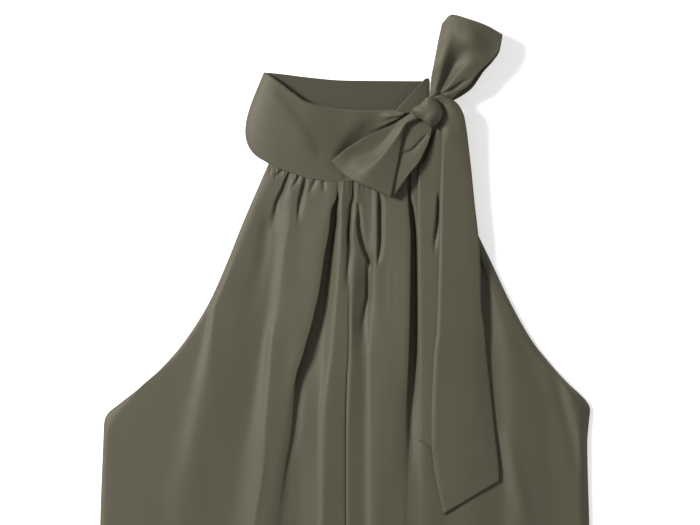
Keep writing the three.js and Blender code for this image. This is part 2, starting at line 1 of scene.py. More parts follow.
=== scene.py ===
# Halter neck top in satin crepe, laid flat, seen from straight above.
# All tables are in millimetres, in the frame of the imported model: +Z up from the surface, +Y to the neck,
# +X to the side with the bow. Meshes are made in metres.
import bpy
import math
import numpy as np
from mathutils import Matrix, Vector


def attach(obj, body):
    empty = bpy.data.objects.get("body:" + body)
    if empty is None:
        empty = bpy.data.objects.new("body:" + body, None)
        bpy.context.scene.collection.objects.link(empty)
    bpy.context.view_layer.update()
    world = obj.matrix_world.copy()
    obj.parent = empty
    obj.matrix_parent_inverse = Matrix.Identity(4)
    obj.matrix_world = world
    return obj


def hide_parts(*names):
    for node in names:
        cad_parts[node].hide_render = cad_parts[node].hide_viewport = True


MM = 0.001
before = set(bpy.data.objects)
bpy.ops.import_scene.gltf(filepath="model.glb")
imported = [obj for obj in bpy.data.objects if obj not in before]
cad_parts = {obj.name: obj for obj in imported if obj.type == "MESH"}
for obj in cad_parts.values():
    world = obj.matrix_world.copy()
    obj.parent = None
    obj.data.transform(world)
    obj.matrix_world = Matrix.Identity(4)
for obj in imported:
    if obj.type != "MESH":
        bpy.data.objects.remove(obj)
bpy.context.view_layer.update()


# Driving dimensions

HEM_Y = -350
YOKE_Y = 190 # below this level the rows of faces run straight across
PANEL = 0.9 # thickness of a panel, of the neckband and of the strip in the bow
DOUBLED = 1.8
STRIP = 1.6
BACK_TOP = 1.4
LOWEST = 2.6 # of a front panel's upper face
SIDE_HEIGHT = 3.5 # of the fronts' upper face at the sides, and where a side meets the neck seam
SIDE_TOP = 7.5
BAND_HEIGHT = 75
SEAM_GAP = 0.1


# Curves through a table's points

def smooth(places, values, at):
    """A smooth curve that never overshoots its points. places rise or fall all the way."""
    places, values = np.asarray(places, float), np.asarray(values, float)
    at = np.asarray(at, float)
    if places[0] > places[-1]:
        places, values = places[::-1], values[::-1]
    if len(places) == 2:
        return np.interp(at, places, values)
    step = np.diff(places)
    slope = np.diff(values) / step
    before, after = slope[:-1], slope[1:]
    a, b = 2 * step[1:] + step[:-1], step[1:] + 2 * step[:-1]
    with np.errstate(divide="ignore", invalid="ignore"):
        middle = np.where(before * after > 0, (a + b) / (a / before + b / after), 0.0)
    tangent = np.concatenate([[slope[0]], middle, [slope[-1]]])
    at = np.clip(at, places[0], places[-1])
    i = np.clip(np.searchsorted(places, at, side="right") - 1, 0, len(step) - 1)
    h = step[i]
    t = (at - places[i]) / h
    return (
        values[i] * (1 + 2 * t) * (1 - t) ** 2
        + tangent[i] * h * t * (1 - t) ** 2
        + values[i + 1] * t * t * (3 - 2 * t)
        + tangent[i + 1] * h * t * t * (t - 1)
    )


def through(rows, share):
    """A smooth curve through the rows of a table, at shares of the way along the list."""
    rows = np.asarray(rows, float)
    places = np.arange(len(rows))
    at = np.asarray(share, float) * (len(rows) - 1)
    return np.stack([smooth(places, rows[:, k], at) for k in range(rows.shape[1])], axis=-1)


def mix(a, b, share):
    return a + (b - a) * share


def bump(values, centre, width):
    return np.exp(-(((values - centre) / width) ** 2))


# Outline of the front and the back panel

LEFT_SIDE = [
    (250, -78.5), (226, -89), (190, -104.5), (150, -120.5), (110, -138.5), (70, -164), (50, -181),
    (30, -202), (10, -227), (-1, -240), (-8, -243), (-30, -244), (-110, -247), (HEM_Y, -251),
]
RIGHT_SIDE = [
    (284, 95), (250, 102.5), (230, 108.5), (190, 125), (150, 144), (110, 163), (70, 186), (50, 202),
    (30, 220), (18, 233), (10, 240), (4, 242.3), (-10, 241), (-30, 239.5), (-110, 241.5), (HEM_Y, 246),
]
FRONT_NECK = [
    (-79, 250), (-67, 243.5), (-51, 238), (-32, 233), (-10, 231.5), (3, 231.5), (18, 233), (33, 237),
    (48, 244), (61, 254), (73, 266), (83, 277), (95, 284),
]
BACK_NECK = [(-79, 250), (-62, 254), (-30, 256), (10, 255), (45, 256), (68, 263), (95, 284)]


def on_curve(table, at):
    table = np.asarray(table, float)
    return smooth(table[:, 0], table[:, 1], at)


# Strokes along a line. Each row is x, y, width and height. A ridge has its height on the line, and a
# crease's is negative. A step rises from the right of the line's direction to its left. A fall drops, or
# rises, at once on the left of its direction and comes back over `back` times its width.
STROKE_STEPS = 6 # of the line between two rows
RIDGE_REACH = 3.2 # how far from the line a stroke is worked out, in widths
FALL_REACH = 2.4 # the same for a fall, in widths of its way back
FALL_STEEPNESS = 2
FALL_START = 0.6
FAR = 1e9
SHORTEST = 1e-9


def stroke(x, y, rows, kind="ridge", back=3.0):
    """The height that a stroke adds at each place."""
    rows = np.asarray(rows, float)
    fine = through(rows, np.linspace(0, 1, STROKE_STEPS * (len(rows) - 1) + 1))
    reach = (FALL_REACH * back if kind == "fall" else RIDGE_REACH) * rows[:, 2].max()
    near = (
        (x > fine[:, 0].min() - reach) & (x < fine[:, 0].max() + reach)
        & (y > fine[:, 1].min() - reach) & (y < fine[:, 1].max() + reach)
    )
    px, py = x[near], y[near]
    nearest = np.full(px.shape, FAR)
    side = np.ones(px.shape)
    height = np.zeros(px.shape)
    for a, b in zip(fine[:-1], fine[1:]):
        run = b[:2] - a[:2]
        length2 = max(float(run @ run), SHORTEST)
        t = np.clip(((px - a[0]) * run[0] + (py - a[1]) * run[1]) / length2, 0, 1)
        dx, dy = px - a[0] - t * run[0], py - a[1] - t * run[1]
        off = np.hypot(dx, dy) / mix(a[2], b[2], t)
        closer = off < nearest
        nearest[closer] = off[closer]
        side[closer] = np.where(run[0] * dy - run[1] * dx > 0, 1.0, -1.0)[closer]
        height[closer] = mix(a[3], b[3], t)[closer]
    result = np.zeros(x.shape)
    if kind == "step":
        result[near] = height * side * nearest * np.exp((1 - nearest ** 2) / 2)
    elif kind == "fall":
        place = side * nearest
        drop = (1 + np.tanh(FALL_STEEPNESS * place - FALL_START)) / 2
        result[near] = height * drop * np.exp(-((place / back) ** 2))
    else:
        result[near] = height * np.exp(-(nearest ** 2))
    return result


# Meshes from grids of points

def new_thing(name, grid, quads, material):
    """An object with a smooth mesh, from a grid of points in millimetres."""
    mesh = bpy.data.meshes.new(name)
    mesh.from_pydata((grid.reshape(-1, 3) * MM).tolist(), [], quads.reshape(-1, 4).tolist())
    mesh.update()
    mesh.shade_smooth()
    mesh.materials.append(material)
    thing = bpy.data.objects.new(name, mesh)
    bpy.context.scene.collection.objects.link(thing)
    return thing


def cloth(name, grid, thickness, material):
    """A sheet of cloth of that thickness whose outer face is the grid."""
    index = np.arange(grid.shape[0] * grid.shape[1]).reshape(grid.shape[:2])
    quads = np.stack([index[:-1, :-1], index[1:, :-1], index[1:, 1:], index[:-1, 1:]], axis=-1)
    thing = new_thing(name, grid, quads, material)
    shell = thing.modifiers.new("thickness", "SOLIDIFY")
    shell.thickness = thickness * MM
    shell.offset = -1
    shell.use_rim = True
    shell.use_even_offset = False
    return thing


def face_up(grid):
    """The grid with its columns turned round if it faces down where it starts."""
    down, across = grid[1, 0] - grid[0, 0], grid[0, 1] - grid[0, 0]
    return grid[:, ::-1] if np.cross(down, across)[2] < 0 else grid


# Front panels

# The lines that the front is shaped by, from side to side. Each runs down from the neck seam: neck is its x
# and z there, rows are y, x and z further down, and columns is how many columns of faces there are from the
# line before.
LEFT_LINES = [
    dict(name="edge swell", columns=6, neck=(-77, 8.4), rows=[
        (216, -91.6, 6.6), (190, -102.4, 6.3), (163, -113.2, 6), (133, -126, 5.8), (103, -140.2, 5.6),
        (73, -159.3, 5.8), (58, -171, 6), (18, -214.5, 6.2), (-22, -240, 6.4), (-100, -242.6, 6.5),
        (HEM_Y, -246.5, 6.5),
    ]),
    dict(name="edge foot", columns=16, neck=(-74, 8.9), rows=[
        (216, -90, 7.6), (190, -100.6, 7.1), (163, -111.6, 6.7), (133, -124.8, 6.4), (118, -131.8, 6.3),
        (103, -138.5, 6.3), (88, -141, 6.9), (73, -144.5, 7.3), (58, -149, 7.5), (38, -155.5, 7.7),
        (-2, -166, 8), (-47, -177, 8.4), (-87, -187, 8.6), (-200, -196, 8.8), (HEM_Y, -205, 9),
    ]),
    dict(name="edge crest", columns=10, neck=(-71, 9.6), rows=[
        (216, -85, 8.6), (191, -95, 8), (163, -107, 7.6), (148, -113.5, 7.8), (133, -120.5, 8.8),
        (118, -126.6, 9.6), (103, -131.3, 9.8), (88, -133, 10.4), (73, -134.5, 10.9), (58, -135.5, 11.3),
        (38, -138, 11.7), (-2, -144, 11.6), (-47, -153, 11), (-87, -160, 10.4), (-200, -172, 9.6),
        (HEM_Y, -184, 9.4),
    ]),
    dict(name="long foot", columns=26, neck=(-60, 10), rows=[
        (216, -68, 9.6), (203, -71, 8.6), (191, -73, 8.3), (163, -75, 8.1), (148, -77, 8),
        (103, -83.5, 8), (73, -87, 7.6), (38, -92, 7.6), (-2, -98.5, 7.8), (-47, -108, 8.4),
        (-102, -117, 8.6), (-200, -128, 9), (HEM_Y, -138, 9),
    ]),
    dict(name="long crest", columns=18, neck=(-50, 12), rows=[
        (216, -54.5, 12.3), (191, -56.5, 12.2), (163, -61.5, 12), (133, -65, 12), (103, -68.5, 12.2),
        (73, -74, 13), (38, -76.5, 13.6), (-2, -80, 13.8), (-47, -83, 13.8), (-102, -91, 13.8),
        (-200, -105, 13.4), (HEM_Y, -115, 13),
    ]),
    dict(name="shallow dip", columns=14, neck=(-34, 12), rows=[
        (191, -45, 12.2), (133, -52, 12.8), (103, -56, 13.2), (58, -62, 13.6), (18, -69, 13.6),
        (-2, -72, 13.6), (-47, -79, 13.6), (-102, -87, 13.6), (-200, -98, 13.2), (HEM_Y, -108, 12.8),
    ]),
    dict(name="left pleat top", columns=16, neck=(-14, 12.5), rows=[
        (216, -16, 13.5), (191, -22, 14.4), (163, -26.5, 14.6), (133, -31, 14.6), (103, -37, 14.6),
        (73, -45, 14.4), (58, -50, 14.4), (38, -56.5, 14), (18, -59.5, 13.8), (-2, -62, 13.5),
        (-22, -65, 13.4), (-47, -70, 13.3), (-72, -74, 13.3), (-102, -78, 13.3), (-200, -88, 12.9),
        (HEM_Y, -98, 12.6),
    ]),
    dict(name="left pleat lip", columns=8, neck=(-10.8, 12.4), rows=[
        (216, -11, 12.9), (203, -16, 13.5), (191, -17.5, 13.8), (178, -19, 14), (163, -22, 14.1),
        (133, -26.5, 14.2), (118, -29, 14.2), (103, -32.5, 14.2), (88, -36, 14.1), (73, -40.5, 14),
        (58, -44.5, 13.9), (38, -51, 13.5), (26, -53, 13), (18, -53.5, 12.4), (-2, -55, 11.9),
        (-22, -57, 11.7), (-47, -61.5, 11.6), (-72, -66.5, 12), (-102, -71, 12.2), (-200, -80, 12.2),
        (HEM_Y, -90, 12.1),
    ]),
    dict(name="left pleat bottom", columns=7, neck=(-9.8, 12.2), rows=[
        (222, -9.8, 12), (213, -12, 7), (203, -16, 4), (191, -18, 3.2), (163, -22.8, 3), (133, -27.3, 3),
        (103, -33.3, 3), (73, -41.2, 3), (58, -45, 3.4), (38, -51.5, 4.6), (26, -51.5, 5.8),
        (18, -50.5, 6.8), (-2, -51.5, 7.6), (-22, -53.5, 8.2), (-47, -58, 8.9), (-72, -61.5, 9.4),
        (-102, -64, 9.8), (-200, -73, 10.4), (HEM_Y, -83, 10.8),
    ]),
    dict(name="left pleat far side", columns=6, neck=(-8.8, 12.2), rows=[
        (222, -8.6, 12), (213, -10.5, 8), (203, -12.5, 4.2), (191, -13.5, 3.4), (163, -18, 3.2),
        (133, -22.5, 3.1), (103, -27.5, 3.1), (73, -35, 3.3), (58, -39.5, 4), (38, -46, 5.4),
        (18, -46.5, 7), (-2, -48.5, 7.8), (-22, -50.5, 8.2), (-47, -55, 8.6), (-72, -57, 8.6),
        (-102, -58, 9), (-200, -68, 10), (HEM_Y, -78, 10.5),
    ]),
    dict(name="left pleat rise", columns=9, neck=(-7.6, 12.4), rows=[
        (216, -8, 12.2), (203, -9.5, 11), (191, -10, 9.5), (178, -12, 8.8), (163, -13.5, 8),
        (148, -15.5, 7), (133, -17.5, 6.2), (118, -19.5, 5.4), (103, -21.5, 4.6), (88, -25, 4.2),
        (73, -28.5, 4.2), (58, -31, 4.5), (38, -38, 6), (18, -41.5, 7.8), (-2, -43.5, 8.8),
        (-22, -45.5, 9), (-47, -48.5, 8.8), (-72, -49, 8.5), (-102, -49.5, 8.8), (-200, -58, 10.4),
        (HEM_Y, -66, 11),
    ]),
    dict(name="seam ridge foot", columns=8, neck=(-6, 12.6), rows=[
        (203, -8, 12.4), (191, -9, 11.8), (163, -12, 10.4), (148, -13.5, 9.6), (118, -17, 7.8),
        (103, -19, 7.2), (73, -23.5, 6.2), (58, -24.5, 6.4), (38, -27, 8), (-2, -30, 10),
        (-47, -30.5, 10.8), (-102, -31, 11.4), (-200, -35, 12), (HEM_Y, -39, 12),
    ]),
    dict(name="seam ridge crest", columns=10, neck=(-4, 12.8), rows=[
        (216, -5, 13.4), (191, -5.5, 13.6), (163, -6.5, 13.6), (133, -8.5, 13.4), (103, -11, 13.2),
        (73, -13, 13.2), (38, -17, 13.2), (-2, -21.2, 13.2), (-47, -22.3, 13.5), (-102, -23, 13.9),
        (-200, -28, 14), (HEM_Y, -32, 14),
    ]),
    dict(name="centre seam", columns=16, neck=(4.5, 11.5), rows=[
        (216, 3, 11.5), (203, 2, 11.5), (191, 1.2, 11.8), (163, 0.3, 12), (133, 0.3, 12.6),
        (103, 0.5, 12.8), (73, 0.6, 12.7), (38, -0.3, 12.5), (-2, -1.5, 12.2), (-47, -1.5, 11.8),
        (HEM_Y, -1, 11.8),
    ]),
]
RIGHT_LINES = [
    dict(name="seam roll", columns=6, neck=(8, 13), rows=[
        (216, 5.5, 13.2), (191, 5, 13.2), (163, 5, 13.3), (133, 5.5, 13.5), (103, 4, 13.2),
        (58, 3.5, 12.9), (-2, 1.5, 12.9), (-47, 0.8, 12.4), (HEM_Y, 1.5, 12.4),
    ]),
    dict(name="short pleat", columns=14, neck=(16, 12), rows=[
        (216, 17, 11.8), (203, 18.5, 11.6), (191, 19, 11.4), (178, 20, 11), (163, 20, 10.8),
        (148, 18.5, 9.6), (133, 18, 9), (118, 18, 8.8), (103, 15.8, 9), (88, 13.5, 9.4), (73, 13.5, 10),
        (58, 14.5, 10.6), (38, 15.5, 10.8), (-47, 15.5, 10.8), (-102, 15.5, 11), (-200, 17, 11.2),
        (HEM_Y, 18, 11.3),
    ]),
    dict(name="sharp ridge foot", columns=7, neck=(22, 12.2), rows=[
        (216, 24, 12), (191, 24, 11.8), (163, 24, 11.4), (148, 23, 10.4), (133, 22.5, 10),
        (118, 21.5, 10), (103, 20, 10.2), (73, 19.2, 10.6), (58, 18.6, 10.9), (-102, 18.6, 11.2),
        (-200, 20.5, 11.5), (HEM_Y, 22, 11.6),
    ]),
    dict(name="sharp ridge crest", columns=7, neck=(26.5, 13.4), rows=[
        (216, 28.3, 13.8), (191, 28.3, 14), (163, 28.3, 13.8), (148, 27.6, 13.3), (133, 27, 13),
        (118, 26, 12.9), (103, 24.6, 12.9), (73, 23.4, 12.9), (58, 22.7, 13), (-102, 22.5, 13.2),
        (-200, 24.5, 13.2), (HEM_Y, 26, 13.2),
    ]),
    dict(name="neck pleat", columns=10, neck=(38, 13.4), rows=[
        (191, 38, 13.8), (133, 37, 13.2), (73, 36, 13.6), (38, 33, 13.9), (-2, 32, 14), (-47, 31, 14),
        (-102, 29, 13.9), (-200, 31, 13.9), (HEM_Y, 33, 13.9),
    ]),
    dict(name="right pleat top", columns=16, neck=(51, 13.4), rows=[
        (216, 55, 14), (191, 58, 14.6), (163, 58.5, 15), (133, 58.5, 15.2), (103, 58, 15.2), (73, 57, 15),
        (58, 56, 14.8), (38, 52, 14.4), (18, 49, 14.2), (-2, 46, 14), (-47, 42, 13.8), (-102, 38, 13.6),
        (-200, 40, 13.6), (HEM_Y, 42, 13.6),
    ]),
    dict(name="right pleat lip", columns=8, neck=(56, 12.8), rows=[
        (216, 60, 13.4), (203, 61, 13.6), (191, 62, 13.8), (178, 63, 14), (148, 62.8, 14.2),
        (103, 62.3, 14.2), (73, 61.5, 14), (58, 61, 13.8), (38, 60, 13.4), (18, 59, 12.8), (-2, 58, 12.3),
        (-22, 57.5, 12.2), (-47, 56, 12.2), (-102, 56, 12.4), (HEM_Y, 58, 12.4),
    ]),
    dict(name="right pleat bottom", columns=6, neck=(58, 12), rows=[
        (216, 60.7, 7), (203, 61.5, 4), (191, 62.3, 3.2), (163, 62.5, 3), (103, 62, 3), (73, 62, 3.2),
        (58, 61.8, 3.6), (38, 61.8, 4.8), (18, 62, 6.2), (-2, 62.4, 7.6), (-22, 62.4, 8.8),
        (-47, 61.5, 10.2), (-72, 60.5, 11.4), (-102, 60, 11.8), (HEM_Y, 62, 11.8),
    ]),
    dict(name="right pleat far side", columns=5, neck=(60.5, 12), rows=[
        (216, 62, 7), (203, 64, 4), (191, 66, 3.1), (163, 67.5, 2.9), (133, 68, 2.9), (103, 68.3, 3),
        (73, 67.8, 3.4), (58, 67.3, 4), (38, 66, 5), (18, 65, 6.2), (-2, 64.6, 7.6), (-22, 64.4, 8.7),
        (-47, 64, 10.2), (-72, 63, 11.4), (-102, 63, 11.8), (HEM_Y, 65.5, 11.8),
    ]),
    dict(name="right pleat rise", columns=6, neck=(63, 12.4), rows=[
        (216, 64, 12.6), (203, 67.5, 12.6), (178, 70, 12.6), (163, 70.5, 12.6), (133, 70.8, 12.4),
        (103, 71, 12), (58, 71.5, 11.2), (18, 70, 10.4), (-2, 68.5, 10), (-22, 68, 10), (-47, 68.5, 11),
        (-102, 69, 12), (HEM_Y, 73, 12),
    ]),
    dict(name="tie ridge", columns=8, neck=(68, 12.8), rows=[
        (216, 72, 13), (191, 77, 13), (103, 77, 12.8), (38, 77, 12.7), (-47, 77, 12.6), (-102, 80, 12.8),
        (HEM_Y, 84, 13),
    ]),
    dict(name="tie hollow", columns=12, neck=(76, 11.8), rows=[
        (216, 86, 11.6), (191, 90, 11.2), (148, 91, 10.6), (103, 92, 10.8), (38, 95, 11), (-47, 99, 11.5),
        (-102, 101, 12), (HEM_Y, 105, 12),
    ]),
    dict(name="hidden ridge", columns=10, neck=(80, 12), rows=[
        (190, 102, 11.5), (130, 111, 12), (70, 116, 12), (0, 121, 12), (-80, 123, 12.3),
        (-200, 127, 12.8), (HEM_Y, 131, 12.8),
    ]),
    dict(name="hidden pleat", columns=12, neck=(84, 11), rows=[
        (190, 114, 7), (163, 130, 5.4), (130, 136, 5.4), (103, 139, 6), (70, 143, 8.2), (40, 146, 9.4),
        (0, 149, 9.8), (-80, 152, 10), (-200, 154, 10), (HEM_Y, 157, 10),
    ]),
    dict(name="side ridge", columns=12, neck=(88, 10.5), rows=[
        (190, 118, 6.5), (130, 143, 7), (103, 152, 8), (70, 160, 10.4), (0, 168, 12), (-80, 168, 12),
        (-200, 175, 12), (HEM_Y, 180, 12),
    ]),
    dict(name="side hollow", columns=12, neck=(91, 9.5), rows=[
        (190, 120.5, 6), (130, 148, 6.6), (70, 174, 8.5), (0, 203, 9), (-80, 204, 9), (-200, 206, 9),
        (HEM_Y, 209, 9),
    ]),
    dict(name="side swell", columns=12, neck=(93.3, 8), rows=[
        (190, 123, 5), (130, 151, 5.5), (70, 181, 7.5), (0, 228, 9.5), (-80, 230, 9.5), (-200, 231, 9),
        (HEM_Y, 233, 9),
    ]),
]
EDGE_COLUMNS = 10

# Creases, ridges and steps that are too narrow for the lines: x, y, width, height.
FRONT_STROKES = [
    dict(kind="fall", rows=[
        (-59.5, 239.5, 1, -3), (-63.5, 231, 1.3, -4.5), (-66.5, 223, 1.5, -4.5), (-69.5, 217, 1.7, -4.5),
        (-72.5, 210, 2, -4), (-74, 203, 2.4, -3), (-77.5, 191, 4, -1.2), (-80, 180, 5, 0),
    ]),
    dict(kind="fall", rows=[(-66.5, 242.5, 1, -2), (-71, 239, 1.2, -1.5), (-73, 235, 1.3, 0)]),
    dict(kind="fall", rows=[(-50.5, 236, 0.9, -3), (-52, 232, 1, -2.5), (-54.5, 228, 1.2, -0.8)]),
    dict(kind="fall", rows=[
        (-44, 232.5, 1, -4), (-45.5, 227, 1.3, -5), (-47, 221, 1.4, -5), (-48.5, 215, 1.5, -4.5),
        (-49.5, 208, 1.6, -3.5), (-50, 203, 1.5, -2.5), (-50.5, 191, 1.5, -0.3),
    ]),
    dict(kind="fall", rows=[
        (-34, 232, 1.1, -2.5), (-36.5, 227, 1.3, -2.2), (-38.5, 223, 1.5, -1.4), (-40.5, 220, 1.6, -0.4),
    ]),
    dict(kind="fall", rows=[(-25, 229.5, 0.8, -3), (-25, 224, 0.9, -1.5), (-25, 219, 1, 0)]),
    # beside the centre seam
    dict(kind="fall", rows=[
        (5, 231, 0.8, -4), (4.5, 223, 0.9, -5), (4, 216, 1, -6), (1.5, 203, 1.6, -5),
        (0.5, 191, 1.2, -5.5), (-0.5, 178, 1.2, -5.5), (0, 163, 1.6, -4.5), (-1, 148, 2.2, -2.5),
        (-2.5, 133, 2.5, -1), (-2.5, 122, 2.5, 0),
    ]),
    dict(kind="fall", rows=[
        (1.5, 128, 0.8, -0.5), (1, 103, 0.8, -1), (0.5, 60, 0.8, -1), (-2, 18, 0.8, -0.9),
        (-3, -47, 0.8, -0.8), (-2, -200, 0.8, -0.7), (-2, HEM_Y, 0.8, -0.7),
    ]),
    dict(kind="fall", rows=[
        (9.5, 207, 0.9, -3), (9.5, 191, 1.2, -6), (11, 178, 1.3, -6), (15, 163, 1.5, -5.5),
        (20.5, 151, 1.2, -4), (21.5, 146, 1, -1),
    ]),
    dict(kind="fall", rows=[
        (18.5, 148, 2.2, -2.5), (18, 133, 2, -4.5), (18, 118, 2, -4.8), (15.5, 103, 3, -3.5),
        (13, 88, 3.5, -2.5), (12.5, 73, 4, -1), (12.5, 60, 4, 0),
    ]),
    dict(kind="fall", rows=[
        (30.5, 222, 0.8, -1), (30.5, 216, 1, -4), (30.5, 203, 1.2, -7), (30.5, 178, 1.2, -7),
        (30, 163, 1.2, -5), (29.5, 152, 1, -1.5), (29.3, 147, 1, 0),
    ]),
    dict(rows=[
        (-79, 200, 6, 0), (-81, 185, 6, -1.6), (-84, 160, 7, -1.6), (-90, 130, 8, -1), (-96, 100, 9, 0),
    ]),
    dict(rows=[(42, 148, 1.5, 0), (42, 138, 1.5, 0.3), (42, 108, 1.5, 0.3), (42, 98, 1.5, 0)]),
    # soft rises near the side
    dict(kind="step", rows=[
        (204, 52, 4, 0), (213.5, 32, 5, 1), (219.5, 8, 5, 1.2), (230.5, -37, 5, 1), (234, -70, 5, 0),
    ]),
    dict(kind="step", rows=[
        (150, -10, 6, 0), (155.5, -37, 6, 0.9), (167.5, -87, 6, 0.9), (175, -130, 7, 0),
    ]),
]

# Small gathers below the neck seam, uneven in pitch, strength and length, and soft long waves that wander
# down the cloth. A wave is its height, its length divided by 2 pi, and its start.
GATHER_PITCH = 5.1
GATHER_HEIGHT = 0.25
GATHER_DRIFT = [(1.6, 9.0, 0), (0.9, 3.7, 2)]
GATHER_SECOND = dict(share=0.6, pace=1.73, start=1)
GATHER_LENGTH = 9
LENGTH_WAVES = [(4, 7.3, 0), (3, 2.9, 1)]
GATHER_STRENGTH = 0.5
STRENGTH_WAVES = [(0.5, 12.0, 0.5)]
LONG_WAVE_HEIGHT = 0.15
LONG_WAVES = [
    dict(share=1, across=5.3, down=90, start=0, beat=61, lean=33),
    dict(share=0.6, across=9.1, down=-140, start=2, beat=83, lean=math.inf),
]
CALM_DROP = 40 # the long waves grow over this drop from the seam, and over this span of the cloth's height
CALM_LOW = 5
CALM_SPAN = 5

YOKE_STEPS, CHEST_STEPS, WAIST_STEPS = 48, 74, 66
YOKE_CROWDING = 1.25 # over 1 brings the rows of faces closer together at the neck seam
YOKE_ROWS = np.linspace(0, 1, YOKE_STEPS, endpoint=False) ** YOKE_CROWDING
BODY_ROWS = np.concatenate([np.linspace(YOKE_Y, 0, CHEST_STEPS)[:-1], np.linspace(0, HEM_Y, WAIST_STEPS)])


class Line:
    """A fold or a side of the front: its place and height at any length y down from the neck seam."""

    def __init__(self, neck, rows, columns):
        self.neck_y = float(on_curve(FRONT_NECK, neck[0]))
        self.rows = np.array([(self.neck_y, *neck), *rows], float)
        self.columns = columns

    def point(self, y):
        levels, places, heights = self.rows.T
        return (float(smooth(levels, places, y)), y, float(smooth(levels, heights, y)))


def side_line(table, columns):
    neck_y, neck_x = table[0]
    return Line((neck_x, SIDE_TOP), [(y, x, SIDE_HEIGHT) for y, x in table[1:]], columns)


def table_lines(table):
    return [Line(line["neck"], line["rows"], line["columns"]) for line in table]


left_lines = [side_line(LEFT_SIDE, 0)] + table_lines(LEFT_LINES)
right_lines = left_lines[-1:] + table_lines(RIGHT_LINES) + [side_line(RIGHT_SIDE, EDGE_COLUMNS)]


def waves(along, table):
    return sum(height * np.sin(along / length + start) for height, length, start in table)


def front_grid(lines, centre_end):
    """A front panel. centre_end is 0 or -1, the end of each row that lies at the centre seam."""
    ways = [np.array([0.0])]
    for k, line in enumerate(lines[1:]):
        ways.append(k + np.linspace(0, 1, line.columns + 1)[1:])
    way = np.concatenate(ways) / (len(lines) - 1)
    levels = [[mix(line.neck_y, YOKE_Y, share) for line in lines] for share in YOKE_ROWS]
    levels += [[y] * len(lines) for y in BODY_ROWS]
    rows = [through([line.point(y) for line, y in zip(lines, level)], way) for level in levels]
    grid = np.stack(rows)
    grid[0, :, 1] = on_curve(FRONT_NECK, grid[0, :, 0])
    grid[:, centre_end, 0] += SEAM_GAP / 2 if centre_end == 0 else -SEAM_GAP / 2
    x, y = grid[..., 0], grid[..., 1]
    drop = np.maximum(on_curve(FRONT_NECK, x) - y, 0)
    phase = x / GATHER_PITCH * 2 * np.pi + waves(x, GATHER_DRIFT)
    second = GATHER_SECOND["share"] * np.sin(GATHER_SECOND["pace"] * phase + GATHER_SECOND["start"])
    strength = GATHER_STRENGTH + waves(x, STRENGTH_WAVES)
    fading = np.exp(-((drop / (GATHER_LENGTH + waves(x, LENGTH_WAVES))) ** 2))
    grid[..., 2] += GATHER_HEIGHT * strength * (np.sin(phase) + second) * fading
    calm = np.clip(drop / CALM_DROP, 0, 1) * np.clip((grid[..., 2] - CALM_LOW) / CALM_SPAN, 0, 1)
    wander = sum(
        wave["share"] * np.sin(x / wave["across"] + y / wave["down"] + wave["start"])
        * np.sin(y / wave["beat"] + x / wave["lean"]) for wave in LONG_WAVES
    )
    grid[..., 2] += LONG_WAVE_HEIGHT * calm * wander
    for mark in FRONT_STROKES:
        grid[..., 2] += stroke(x, y, **mark)
    grid[..., 2] = np.maximum(grid[..., 2], LOWEST)
    return grid


# Back panel

def back_grid(columns=150, yoke_rows=30, body_rows=150):
    share = np.linspace(0, 1, columns + 1)
    neck_x = mix(BACK_NECK[0][0], BACK_NECK[-1][0], share)
    neck_y = on_curve(BACK_NECK, neck_x) - SEAM_GAP
    down = np.concatenate([np.linspace(0, 1, yoke_rows, endpoint=False), np.ones(body_rows)])
    lengths = np.concatenate([np.full(yoke_rows, YOKE_Y), np.linspace(YOKE_Y, HEM_Y, body_rows)])
    rows = []
    for level, length in zip(down, lengths):
        y = mix(neck_y, length, level)
        x = mix(on_curve(LEFT_SIDE, y[:1]), on_curve(RIGHT_SIDE, y[-1:]), share)
        rows.append(np.stack([x, y, np.full_like(x, BACK_TOP)], axis=-1))
    return np.stack(rows)


# Neckband

